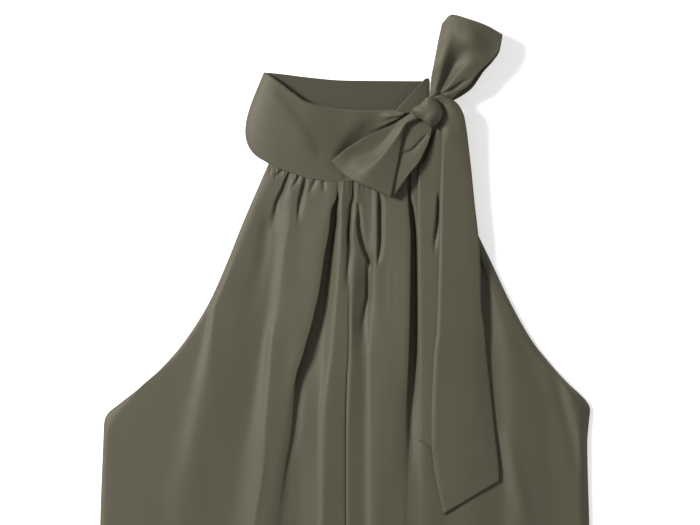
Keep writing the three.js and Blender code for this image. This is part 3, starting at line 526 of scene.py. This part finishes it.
# Its sections, from the bow across the front, round the left side and back to the bow. seam and top are its
# lower and upper edges, crown is how far its middle stands up, and bow how far it swells out to the left.
BAND = [
    dict(seam=(93, 284.8, 12.2), top=(79, 304, 14), crown=0, bow=0),
    dict(seam=(77, 271.4, 12.6), top=(67, 300.5, 15.5), crown=0.6, bow=0),
    dict(seam=(62, 254.5, 12.8), top=(56, 301, 14.5), crown=1, bow=0),
    dict(seam=(45, 240.5, 12.6), top=(44, 302.8, 12), crown=0.5, bow=0),
    dict(seam=(23, 230.9, 12.2), top=(25, 302.2, 10), crown=0, bow=0),
    dict(seam=(-2, 227.2, 12.2), top=(1, 303, 10.4), crown=0, bow=0.5),
    dict(seam=(-25, 228.1, 12.4), top=(-21, 305.2, 13), crown=1, bow=1.5),
    dict(seam=(-44, 232.8, 12), top=(-39, 310, 14.6), crown=1.8, bow=3),
    dict(seam=(-59, 238.7, 11.4), top=(-54, 319.5, 14), crown=1.6, bow=6),
    dict(seam=(-70, 243.7, 10.4), top=(-69, 331, 12.4), crown=1.2, bow=11),
    dict(seam=(-77, 249.5, 8), top=(-80, 338.8, 8.5), crown=0.5, bow=17.5),
    dict(seam=(-80, 252, 4), top=(-83.5, 340.5, 4), crown=0, bow=21),
    dict(seam=(-75, 253.5, 0), top=(-79, 340.2, 0), crown=0, bow=17),
    dict(seam=(-62, 254.6, 0), top=(-63, 338.5, 0), crown=0, bow=9),
    dict(seam=(-42, 256.5, 0), top=(-42, 335.8, 0), crown=0, bow=2),
    dict(seam=(-2, 256.3, 0), top=(-2, 332.4, 0), crown=0, bow=0),
    dict(seam=(38, 256.5, 0), top=(38, 332, 0), crown=0, bow=0),
    dict(seam=(64, 262.5, 0), top=(66, 331.8, 0), crown=0, bow=0),
    dict(seam=(78, 273, 0), top=(77.5, 331.8, 0), crown=0, bow=0),
    dict(seam=(82, 277, 4), top=(82, 332.4, 4), crown=0, bow=0),
    dict(seam=(78, 283, 8), top=(81.5, 333.4, 7.4), crown=0, bow=0),
    dict(seam=(62, 292, 9.8), top=(80, 334.2, 8.2), crown=0.4, bow=0),
    dict(seam=(47, 301, 10.6), top=(77.5, 333.6, 8.8), crown=0.8, bow=0),
]
BAND_FRONT_END, BAND_BACK_START, BAND_BACK_END = 10, 12, 18
BOW_RISE = 0.6 # under 1 puts the widest place of the swell nearer to the seam
BAND_LOWEST = 4.4 # of the front part, above the back part
SEAM_SHARE = 0.25 # the strokes fade over this share of the height above the seam
BAND_STROKES = [
    # the fall at the left, and the deep one that runs from the bow to the neck seam
    dict(kind="fall", back=7, rows=[
        (-84, 331, 6, 0), (-77.5, 323, 7, -0.8), (-59.5, 301, 9, -1.8), (-52, 291, 9, -2),
        (-44.5, 281, 9, -2), (-34.5, 261, 9, -1.8), (-30, 252, 8, 0),
    ]),
    dict(kind="fall", back=5, rows=[
        (38, 303, 8, 0), (27, 299, 12, -3), (14.5, 293, 15, -5.4), (7, 285.5, 15, -6), (0, 275.5, 12, -6),
        (-7, 264.5, 8, -4.8), (-12, 257, 6, -2.6), (-16, 247, 5, 0),
    ]),
    # the slit where the lower loop comes out
    dict(rows=[
        (4, 267, 1.2, 0), (13.5, 273.5, 1.4, -3), (27.5, 280, 1.5, -5), (40, 286.2, 1.5, -5),
        (52.5, 292.5, 1.4, -5), (62, 298.5, 1.2, -4),
    ]),
    # creases that meet at the knot
    dict(rows=[(63, 299.5, 1, -2), (57, 301, 1.2, -2.5), (47, 303, 1.5, -1.2), (38, 305, 2, 0)]),
    dict(kind="step", rows=[
        (30, 300, 3, 0), (42, 299, 3, -1.3), (54, 299.5, 2, -1), (63, 299.5, 1.4, 0),
    ]),
    dict(rows=[(53, 296, 1, -1.5), (44, 293.5, 1.4, -1.2), (33, 289, 2, 0)]),
    # the rise at the left, round the fold
    dict(rows=[(-90, 296, 9, 0.3), (-80, 270, 9, 0.4), (-60, 254, 8, 0.2)]),
]
RIM_HEIGHT = 0.7 # of the roll along the folded top edge, with how far in it is and how wide
RIM_PLACE = 1.8
RIM_WIDTH = 1.5
RIM_EDGE_DROP = 1.6 # of the edge itself, in rolls
RIM_EDGE_WIDTH = 0.8
FRONT_FADE = 1.5 # in rows of BAND, before the side fold
ROW_CROWDING = 1.15 # over 1 brings the rows of faces closer together at the seam


def band_grid(across=60, steps=14):
    count = (len(BAND) - 1) * steps
    way = np.linspace(0, 1, count + 1)
    seam_line = through([row["seam"] for row in BAND], way)
    at = way * (len(BAND) - 1)
    on_front = at <= BAND_FRONT_END
    on_back = (at >= BAND_BACK_START) & (at <= BAND_BACK_END)
    shift = np.where(on_front, on_curve(FRONT_NECK, seam_line[:, 0]) + SEAM_GAP - seam_line[:, 1], 0)
    shift += np.where(on_back, on_curve(BACK_NECK, seam_line[:, 0]) + SEAM_GAP - seam_line[:, 1], 0)
    shift = np.maximum(shift, 0)
    fade = np.clip((BAND_FRONT_END - at) / FRONT_FADE, 0, 1)
    grid = []
    for share in np.linspace(1, 0, across + 1) ** ROW_CROWDING:
        middle = math.sin(math.pi * share)
        rows = []
        outward = math.sin(math.pi * share ** BOW_RISE)
        for row in BAND:
            x, y, z = mix(np.array(row["seam"], float), np.array(row["top"], float), share)
            rows.append((x - row["bow"] * outward, y, z + row["crown"] * middle))
        line = through(rows, way)
        line[:, 1] += shift * (1 - share)
        marks = sum(stroke(line[:, 0], line[:, 1], **mark) for mark in BAND_STROKES)
        inward = (1 - share) * BAND_HEIGHT
        roll = bump(inward, RIM_PLACE, RIM_WIDTH)
        rim = RIM_HEIGHT * (roll - RIM_EDGE_DROP * bump(inward, 0, RIM_EDGE_WIDTH))
        line[:, 2] += (marks * min(1, share / SEAM_SHARE) + rim) * fade
        line[:, 2] = np.where(on_front, np.maximum(line[:, 2], BAND_LOWEST), line[:, 2])
        grid.append(line)
    return face_up(np.stack(grid))


# Bow

# Each loop is a strip that leaves the knot on top, folds at its tip and comes back below. A section has
# points across its top layer, from the left edge to the right one, and the two edges of its lower layer.
UPPER_LOOP = [
    dict(top=[(80, 313, 20), (86, 314, 23), (91, 315, 24), (96, 314.5, 23.5), (103, 312, 21)],
         under=[(80, 312, 14), (104, 311, 14)]),
    dict(top=[(82.3, 323, 22), (88, 323.5, 25.5), (93.5, 322.5, 21.5), (98.5, 321, 26), (110, 318.5, 23.5)],
         under=[(82.5, 318, 14), (110, 314, 14)]),
    dict(top=[(82.8, 333, 24.5), (91, 334, 27.5), (98.5, 333, 21.5), (105.5, 330.5, 27.5),
              (120, 325.5, 25.5)],
         under=[(84, 331, 14), (123, 323, 14)]),
    dict(top=[(85, 345, 26.5), (94, 347, 29.5), (104, 344.5, 21.5), (113.5, 339, 28), (131, 339.5, 26.5)],
         under=[(86, 348, 12), (136, 341, 12)]),
    dict(top=[(87.5, 358, 25), (98, 360.5, 31), (111, 355, 25), (123, 348, 28.5), (143.5, 351.5, 26.5)],
         under=[(89, 362, 11), (145, 351, 11)]),
    dict(top=[(90, 371, 23.5), (103, 377, 28.5), (119, 371.5, 31.5), (133, 365, 29), (151, 362.5, 25.5)],
         under=[(91.5, 376, 11), (151.5, 361.5, 11)]),
    dict(top=[(93.2, 385, 21), (103.5, 394, 25), (120, 389.5, 29), (137, 383.5, 27), (153.5, 374.5, 23)],
         under=[(93.2, 385, 17), (153.5, 374.5, 16)]),
]
LOWER_LOOP = [
    dict(top=[(63, 299, 21), (65, 297.5, 25), (67, 296, 27), (69, 294, 27), (71, 292, 24)],
         under=[(64, 298, 19.5), (84, 284, 19.5)]),
    dict(top=[(52.5, 292, 22.5), (54, 290.5, 23.5), (55.5, 289, 26.5), (57.5, 288, 28), (60, 287.5, 25.5)],
         under=[(53, 290, 19.5), (80.5, 270, 20.5)]),
    dict(top=[(42.5, 286, 23), (45, 283, 23), (48, 280, 26), (51.5, 278, 28), (55.5, 278.5, 25.5)],
         under=[(43, 284, 19), (76, 260, 22)]),
    dict(top=[(27.5, 279, 24), (36, 272.5, 22.6), (40, 269.5, 25), (43.5, 267, 28), (52.5, 265, 25.5)],
         under=[(28, 275, 18.8), (71, 250, 22.8)]),
    dict(top=[(13.5, 272, 24.8), (24, 262.5, 22.3), (30, 257, 25), (34, 254, 28.5), (50, 249.5, 25.5)],
         under=[(14, 268, 18.6), (63, 240, 22.8)]),
    dict(top=[(-2.5, 262, 24), (4, 254, 22), (13, 245.5, 25), (22, 240, 28), (47, 233.5, 25)],
         under=[(-2, 260, 18.6), (55, 229, 22)]),
    dict(top=[(-14.5, 252.5, 21), (-6.5, 244.5, 21.5), (2, 236, 23.5), (17, 229, 26), (44, 217.5, 24)],
         under=[(-14.5, 252.5, 18.8), (46.5, 216, 20)]),
]
UPPER_STROKES = [
    dict(rows=[
        (84, 312, 2, -2), (97.5, 319, 1.6, -3), (104.5, 322.5, 1.6, -3.5), (114.5, 329, 1.8, -2),
        (122, 333, 2, 0),
    ]),
    dict(kind="step", rows=[
        (128, 392, 9, 0), (133, 378, 9, -1.6), (134, 366, 9, -1.6), (130, 356, 8, 0),
    ]),
]
LOWER_UNDER_STROKES = [
    dict(kind="fall", rows=[
        (79, 279, 1, 0), (73, 274, 1.2, -2.5), (62, 263, 1.4, -2.5), (54, 261, 1.4, -1),
    ]),
]
LOOP_TIP_REACH = 2.5 # how far the fold at a tip stands out
TIP_ROWS = 8 # that show which way the tip points
TIP_SHARE = 0.2 # of the loop, over which the lower layer takes on the tip's curve
TOP_FADE = 0.1 # of the loop, over which the strokes on top fade before the tip


def loop_grid(sections, strokes=(), under_strokes=(), across=54, steps=84, tip_steps=12):
    share = np.linspace(0, 1, across + 1)
    way = np.linspace(0, 1, steps + 1)

    def layer(name):
        lines = np.stack([through(section[name], share) for section in sections])
        flat = through(lines.reshape(len(sections), -1), way)
        return flat.reshape(steps + 1, across + 1, 3)

    top, under = layer("top"), layer("under")
    outward = top[-1].mean(axis=0) - top[-TIP_ROWS].mean(axis=0)
    outward[2] = 0
    outward /= np.linalg.norm(outward)
    straight = mix(top[-1, :1], top[-1, -1:], share[:, None])
    swell = np.clip((way - (1 - TIP_SHARE)) / TIP_SHARE, 0, 1) ** 2
    under[..., :2] += (swell[:, None, None] * (top[-1] - straight)[None])[..., :2]
    for mark in strokes:
        fade = np.clip((1 - way) / TOP_FADE, 0, 1)[:, None]
        top[..., 2] += fade * stroke(top[..., 0], top[..., 1], **mark)
    for mark in under_strokes:
        under[..., 2] += stroke(under[..., 0], under[..., 1], **mark)
    turns = np.linspace(0, np.pi, tip_steps + 1)[1:-1]
    tip = np.stack([
        mix(top[-1], under[-1], (1 - math.cos(turn)) / 2) + outward * LOOP_TIP_REACH * math.sin(turn)
        for turn in turns
    ])
    return face_up(np.concatenate([top, tip, under[::-1]]))


# Knot

KNOT = dict(x=80, y=299.5, z=25.3, height=10.5)
# Its radius at each angle, in degrees
KNOT_OUTLINE = [
    (-187, 16.5), (-150, 11), (-131, 9.8), (-105, 11.6), (-73, 15.2), (-46, 14.6), (-17, 14.8), (15, 14.2),
    (52, 14), (90, 14.6), (115, 12), (137, 11), (173, 16.5),
]
KNOT_FLATNESS = 0.7 # under 1 makes the top flatter and the sides steeper
KNOT_STROKES = [
    dict(rows=[(66, 303, 1.5, 0), (74, 306, 1.6, -0.8), (84, 307, 1.6, -0.8), (90, 305, 1.8, 0)]),
    dict(kind="step", rows=[(92, 302, 4, 0), (88, 294, 4, -1), (82, 288, 4, -1), (76, 286, 4, 0)]),
]
POLE_WELD = 0.02 # joins the points at the knot's top and bottom


def knot_grid(around=120, down=60):
    turn = np.linspace(0, 360, around, endpoint=False)
    angle = np.where(turn > KNOT_OUTLINE[-1][0], turn - 360, turn)
    radius = on_curve(KNOT_OUTLINE, angle)
    tilt = np.linspace(0, math.pi, down + 1)
    out = np.sin(tilt)[:, None] ** KNOT_FLATNESS
    x = out * (radius * np.cos(np.radians(turn)))[None, :] + KNOT["x"]
    y = out * (radius * np.sin(np.radians(turn)))[None, :] + KNOT["y"]
    z = np.cos(tilt)[:, None] * KNOT["height"] * np.ones_like(x) + KNOT["z"]
    upper = np.clip(np.cos(tilt), 0, 1)[:, None]
    for mark in KNOT_STROKES:
        z += upper * stroke(x, y, **mark)
    return np.stack([x, y, z], axis=-1)


def knot_object(name, material):
    grid = knot_grid()
    index = np.arange(grid.shape[0] * grid.shape[1]).reshape(grid.shape[:2])
    after = np.roll(index, -1, axis=1)
    quads = np.stack([index[:-1], index[1:], after[1:], after[:-1]], axis=-1)
    thing = new_thing(name, grid, quads, material)
    weld = thing.modifiers.new("poles", "WELD")
    weld.merge_threshold = POLE_WELD * MM
    return thing


# Tie ends

# Each row is a section: its left and right ends, and the height of the upper face at TIE_SHARES of the way.
TIE_SHARES = [0, 0.09, 0.35, 0.75, 1]
UPPER_TIE = [
    dict(left=(85.5, 312), right=(84.5, 314), z=[24.5, 25, 26, 26, 25]),
    dict(left=(91, 308), right=(93.5, 317), z=[24, 24.5, 26, 28, 26]),
    dict(left=(90, 303), right=(102.5, 313), z=[21, 21.5, 24.5, 27.5, 26]),
    dict(left=(84, 298), right=(110.5, 306), z=[20, 20.5, 23.5, 27, 25]),
    dict(left=(86, 288), right=(115.5, 296), z=[19, 20, 24.5, 26, 24.5]),
    dict(left=(93, 280), right=(118, 283), z=[20, 23, 24.6, 24, 22.5]),
    dict(left=(93, 263), right=(120.5, 264), z=[19.6, 22.2, 22.2, 21.6, 20.3]),
    dict(left=(92.5, 243), right=(123, 243), z=[18.4, 20.4, 20.2, 19.6, 18.5]),
    dict(left=(91.4, 213), right=(126, 213), z=[17.8, 19.5, 19.2, 18.6, 17.5]),
    dict(left=(90.6, 160), right=(131.5, 160), z=[17.2, 18.8, 18.4, 17.6, 16.4]),
    dict(left=(89.3, 113), right=(133, 110), z=[17, 18.6, 18.2, 17.2, 15.6]),
    dict(left=(88.3, 83), right=(136.5, 83), z=[17, 18.6, 18.2, 16.8, 14.4]),
    dict(left=(86, 63), right=(138.5, 63), z=[16.8, 18.4, 18, 16.4, 13.2]),
    dict(left=(84.3, 33), right=(141.8, 33), z=[16.6, 18.2, 17.8, 16, 12.6]),
    dict(left=(83.3, 3), right=(145, 3), z=[16.4, 18, 17.6, 15.6, 12.4]),
    dict(left=(83.2, -27), right=(148.3, -27), z=[16, 17.2, 17.2, 15.4, 12.4]),
    dict(left=(85.3, -50), right=(150.4, -45), z=[15.4, 16.2, 16.6, 15.2, 12.6]),
    dict(left=(90, -76), right=(151.3, -57), z=[14.8, 15.4, 15.8, 14.8, 12.8]),
    dict(left=(95.2, -100), right=(151.5, -66), z=[14.2, 14.6, 14.8, 14, 12.8]),
]
UNDER_TIE = [
    dict(left=(79, 284.5), right=(98, 289), z=[17.6, 17.8, 17.8, 17.8, 17.6]),
    dict(left=(75.8, 275), right=(105, 281), z=[17, 17.4, 17.4, 17.4, 17]),
    dict(left=(71.5, 253), right=(112, 255), z=[16.6, 17, 17, 17, 16.6]),
    dict(left=(69.7, 223), right=(117, 225), z=[15.4, 15.8, 16, 16, 15.4]),
    dict(left=(69.8, 193), right=(121, 193), z=[14.8, 15.3, 15.6, 15.6, 15]),
    dict(left=(70.4, 163), right=(123, 163), z=[14.6, 15.1, 15.4, 15.4, 14.8]),
    dict(left=(70.7, 113), right=(124, 113), z=[14.6, 15.1, 15.4, 15.4, 14.6]),
    dict(left=(71, 63), right=(124, 63), z=[14.6, 15.1, 15.4, 15.2, 14.4]),
    dict(left=(71.2, 18), right=(124, 5), z=[14.5, 15, 15.2, 15, 14.2]),
    dict(left=(71.5, -27), right=(124, -58), z=[14.4, 14.8, 15, 14.8, 14]),
]
UNDER_TIE_STROKES = [
    dict(rows=[
        (88, 286, 2.5, 0), (84, 279, 2.2, -4), (80, 267, 2, -5), (74, 252, 2, -5), (70, 244, 1.5, 0),
    ]),
    dict(rows=[
        (91, 222, 1.3, 0), (91, 212, 1.5, -3), (90.6, 200, 1.7, -4), (90, 190, 1.8, -4),
        (88.3, 178, 1.7, -3.4), (87, 168, 1.5, -1.5), (86.5, 158, 1.3, 0),
    ]),
]
TIE_REACH = 3 # how far round a place the cloth below is felt for
TIE_SMOOTHINGS = 30
LAY_GAP = 0.4 # between that cloth and a tie end
EDGE_DROP = 0.6 # of a tie end's edges, over this share of its width
EDGE_SHARE = 0.02
MAP_CELL = 1.5
MAP_LOW = (-260, -360)
MAP_SIZE = (350, 520)
height_map = np.zeros(MAP_SIZE)


def cells(x, y):
    i = np.clip(np.round((np.asarray(x) - MAP_LOW[0]) / MAP_CELL).astype(int), 0, MAP_SIZE[0] - 1)
    j = np.clip(np.round((np.asarray(y) - MAP_LOW[1]) / MAP_CELL).astype(int), 0, MAP_SIZE[1] - 1)
    return i, j


def lay_down(grid):
    """Keeps the grid's height as cloth that later pieces lie on."""
    halfway = [grid, (grid[1:] + grid[:-1]) / 2, (grid[:, 1:] + grid[:, :-1]) / 2]
    for points in halfway:
        i, j = cells(points[..., 0], points[..., 1])
        np.maximum.at(height_map, (i.ravel(), j.ravel()), points[..., 2].ravel())


def rest_height(x, y, reach):
    """The highest cloth within reach of each place."""
    n = int(reach / MAP_CELL)
    best = np.zeros(x.shape)
    for di in range(-n, n + 1):
        for dj in range(-n, n + 1):
            if di * di + dj * dj <= n * n:
                i, j = cells(x + di * MAP_CELL, y + dj * MAP_CELL)
                best = np.maximum(best, height_map[i, j])
    return best


def tie_grid(rows, strokes=(), across=44, steps=12):
    way = np.linspace(0, 1, (len(rows) - 1) * steps + 1)
    ends = through([(*row["left"], *row["right"], *row["z"]) for row in rows], way)
    share = np.linspace(0, 1, across + 1)
    x = mix(ends[:, 0:1], ends[:, 2:3], share[None, :])
    y = mix(ends[:, 1:2], ends[:, 3:4], share[None, :])
    z = np.stack([smooth(TIE_SHARES, heights, share) for heights in ends[:, 4:]])
    lift = np.maximum(rest_height(x, y, TIE_REACH) + LAY_GAP + STRIP - z, 0)
    for _ in range(TIE_SMOOTHINGS):
        around = (lift[:-2, 1:-1] + lift[2:, 1:-1] + lift[1:-1, :-2] + lift[1:-1, 2:]) / 4
        lift[1:-1, 1:-1] = np.maximum(lift[1:-1, 1:-1], around)
    z += lift
    for mark in strokes:
        z += stroke(x, y, **mark)
    z -= EDGE_DROP * (bump(share, 0, EDGE_SHARE) + bump(share, 1, EDGE_SHARE))[None, :]
    return np.stack([x, y, z], axis=-1)


# Materials

OLIVE = (0.082, 0.0745, 0.047)
TONE_SPREAD = 0.12
GRAIN = 0.35
GRAIN_DEPTH = 0.0002
PEBBLE = dict(Scale=1100, Detail=3)
WEAVE = dict(Scale=420, Detail=2)
PATCH = dict(Scale=16, Detail=4)
WEAVE_SHARE = 0.6 # of the weave in the relief, next to the pebbles
GLOSS = (0.56, 0.66)
SHINE = {
    "Specular IOR Level": 0.4, "Sheen Weight": 0.06, "Sheen Roughness": 0.45,
    "Sheen Tint": (0.85, 0.82, 0.7, 1),
}
INSIDE_SHADE_SHARE = 0.72 # how light the inside of the neckband is kept: painted shade for the shade inside the neck opening
INSIDE_SHADE_TOP = (3, 7) # the painted shade lies below this height, fading over it


def new_material(name):
    material = bpy.data.materials.new(name)
    material.use_nodes = True
    material.node_tree.nodes.clear()
    return material, material.node_tree


def node(tree, kind, inputs, **settings):
    """A new shader node. inputs has a value, or the socket to link, for each input by name or number."""
    made = tree.nodes.new("ShaderNode" + kind)
    for name, value in settings.items():
        setattr(made, name, value)
    for socket, value in inputs.items():
        if isinstance(value, bpy.types.NodeSocket):
            tree.links.new(value, made.inputs[socket])
        else:
            made.inputs[socket].default_value = value
    return made


def satin_crepe(name, painted_inside_shade=False):
    """A fine pebbled weave with a soft sheen, with painted shade low down inside the neck opening if asked.
    """
    material, tree = new_material(name)
    place = node(tree, "TexCoord", {}).outputs["Object"]
    pebble, weave, patch = [
        node(tree, "TexNoise", {"Vector": place, **texture}).outputs["Fac"]
        for texture in (PEBBLE, WEAVE, PATCH)
    ]
    heights = node(tree, "Math", {0: weave, 1: WEAVE_SHARE, 2: pebble}, operation="MULTIPLY_ADD")
    relief = node(tree, "Bump", {
        "Strength": GRAIN, "Distance": GRAIN_DEPTH, "Height": heights.outputs["Value"],
    })
    half = node(tree, "Math", {0: pebble, 1: 0.5}, operation="MULTIPLY")
    mixed = node(tree, "Math", {0: patch, 1: 0.5, 2: half.outputs["Value"]}, operation="MULTIPLY_ADD")
    tone = node(tree, "Mix", {
        "Factor": mixed.outputs["Value"],
        "A": (*[c * (1 - TONE_SPREAD) for c in OLIVE], 1),
        "B": (*[c * (1 + TONE_SPREAD) for c in OLIVE], 1),
    }, data_type="RGBA")
    colour = tone.outputs["Result"]
    # painted shade: darkens the colour below a few millimetres up, inside the neck opening
    if painted_inside_shade:
        height = node(tree, "SeparateXYZ", {"Vector": place}).outputs["Z"]
        shade = node(tree, "MapRange", {
            "Value": height, "From Min": INSIDE_SHADE_TOP[0] * MM, "From Max": INSIDE_SHADE_TOP[1] * MM,
            "To Min": INSIDE_SHADE_SHARE,
        })
        scaled = {"Vector": colour, "Scale": shade.outputs["Result"]}
        colour = node(tree, "VectorMath", scaled, operation="SCALE").outputs["Vector"]
    gloss = node(tree, "MapRange", {"Value": weave, "To Min": GLOSS[0], "To Max": GLOSS[1]})
    shader = node(tree, "BsdfPrincipled", {
        "Base Color": colour, "Roughness": gloss.outputs["Result"], "Normal": relief.outputs["Normal"],
        **SHINE,
    })
    node(tree, "OutputMaterial", {"Surface": shader.outputs["BSDF"]})
    return material


panel_cloth = satin_crepe("panel_cloth")
# the neckband's cloth carries painted shade low on its inside
band_cloth = satin_crepe("band_cloth", painted_inside_shade=True)


# The pieces

front_left = front_grid(left_lines, -1)
front_right = front_grid(right_lines, 0)
lay_down(front_left)
lay_down(front_right)


def piece(thing, node):
    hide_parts(node)
    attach(thing, "root")


back = cloth("back_cloth", back_grid(), BACK_TOP, panel_cloth)
left = cloth("front_left_cloth", front_left, PANEL, panel_cloth)
right = cloth("front_right_cloth", front_right, PANEL, panel_cloth)
band = cloth("neckband_cloth", band_grid(), DOUBLED, band_cloth)
knot = knot_object("knot_cloth", band_cloth)
upper = cloth("upper_loop_cloth", loop_grid(UPPER_LOOP, UPPER_STROKES), STRIP, band_cloth)
lower_grid = loop_grid(LOWER_LOOP, under_strokes=LOWER_UNDER_STROKES)
lower = cloth("lower_loop_cloth", lower_grid, STRIP, band_cloth)
under_tie = tie_grid(UNDER_TIE, UNDER_TIE_STROKES)
tail_under = cloth("tail_under_cloth", under_tie, STRIP, band_cloth)
lay_down(under_tie)
tail_over = cloth("tail_over_cloth", tie_grid(UPPER_TIE), STRIP, band_cloth)

piece(left, "front_left")
piece(right, "front_right")
piece(back, "back")
piece(band, "neckband")
piece(upper, "bow_loop_upper")
piece(lower, "bow_loop_lower")
piece(tail_under, "tie_tail_under")
piece(tail_over, "tie_tail_over")
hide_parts("bow_knot")
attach(knot, "root")


# Stage: a pale surface, soft light from the upper left, and a camera that looks straight down

FLOOR_HALF = 6.0
FLOOR_DROP = 0.0002
FLOOR_LOOK = {
    "Base Color": (0.93, 0.925, 0.91, 1), "Roughness": 0.9, "Specular IOR Level": 0.1,
    "Emission Color": (1, 1, 1, 1), "Emission Strength": 0.5,
}
AIM = (0, 0.1, 0)
KEY = dict(place=(-2.3, 1.1, 2.0), size=0.8, power=132, colour=(1.0, 0.985, 0.96))
FILL = dict(place=(2.2, -1.2, 2.6), size=2.5, power=10, colour=(0.97, 0.98, 1.0))
SKY = {"Color": (1, 1, 1, 1), "Strength": 0.3}
CAMERA_HEIGHT = 2.5
VIEW_WIDTH = 0.700
VIEW_CENTRE = (0.0025, 0.1505)
SENSOR_WIDTH = 36


def floor():
    material, tree = new_material("pale_surface")
    shader = node(tree, "BsdfPrincipled", FLOOR_LOOK)
    node(tree, "OutputMaterial", {"Surface": shader.outputs["BSDF"]})
    mesh = bpy.data.meshes.new("floor")
    corners = [(-1, -1), (1, -1), (1, 1), (-1, 1)]
    mesh.from_pydata([(FLOOR_HALF * x, FLOOR_HALF * y, 0) for x, y in corners], [], [(0, 1, 2, 3)])
    mesh.materials.append(material)
    thing = bpy.data.objects.new("floor", mesh)
    thing.location.z = -FLOOR_DROP
    bpy.context.scene.collection.objects.link(thing)


def area_light(name, place, size, power, colour):
    light = bpy.data.lights.new(name, "AREA")
    light.shape = "DISK"
    light.size = size
    light.energy = power
    light.color = colour
    thing = bpy.data.objects.new(name, light)
    thing.location = place
    direction = Vector(np.array(AIM, float) - np.array(place, float))
    thing.rotation_euler = direction.to_track_quat("-Z", "Y").to_euler()
    bpy.context.scene.collection.objects.link(thing)


floor()
area_light("key", **KEY)
area_light("fill", **FILL)
world = bpy.data.worlds.new("studio")
bpy.context.scene.world = world
world.use_nodes = True
for socket, value in SKY.items():
    world.node_tree.nodes["Background"].inputs[socket].default_value = value

camera_data = bpy.data.cameras.new("camera")
camera_data.sensor_width = SENSOR_WIDTH
camera_data.lens = SENSOR_WIDTH * CAMERA_HEIGHT / VIEW_WIDTH
camera = bpy.data.objects.new("camera", camera_data)
camera.location = (*VIEW_CENTRE, CAMERA_HEIGHT)
bpy.context.scene.collection.objects.link(camera)
bpy.context.scene.camera = camera
bpy.context.scene.view_settings.view_transform = "Standard"
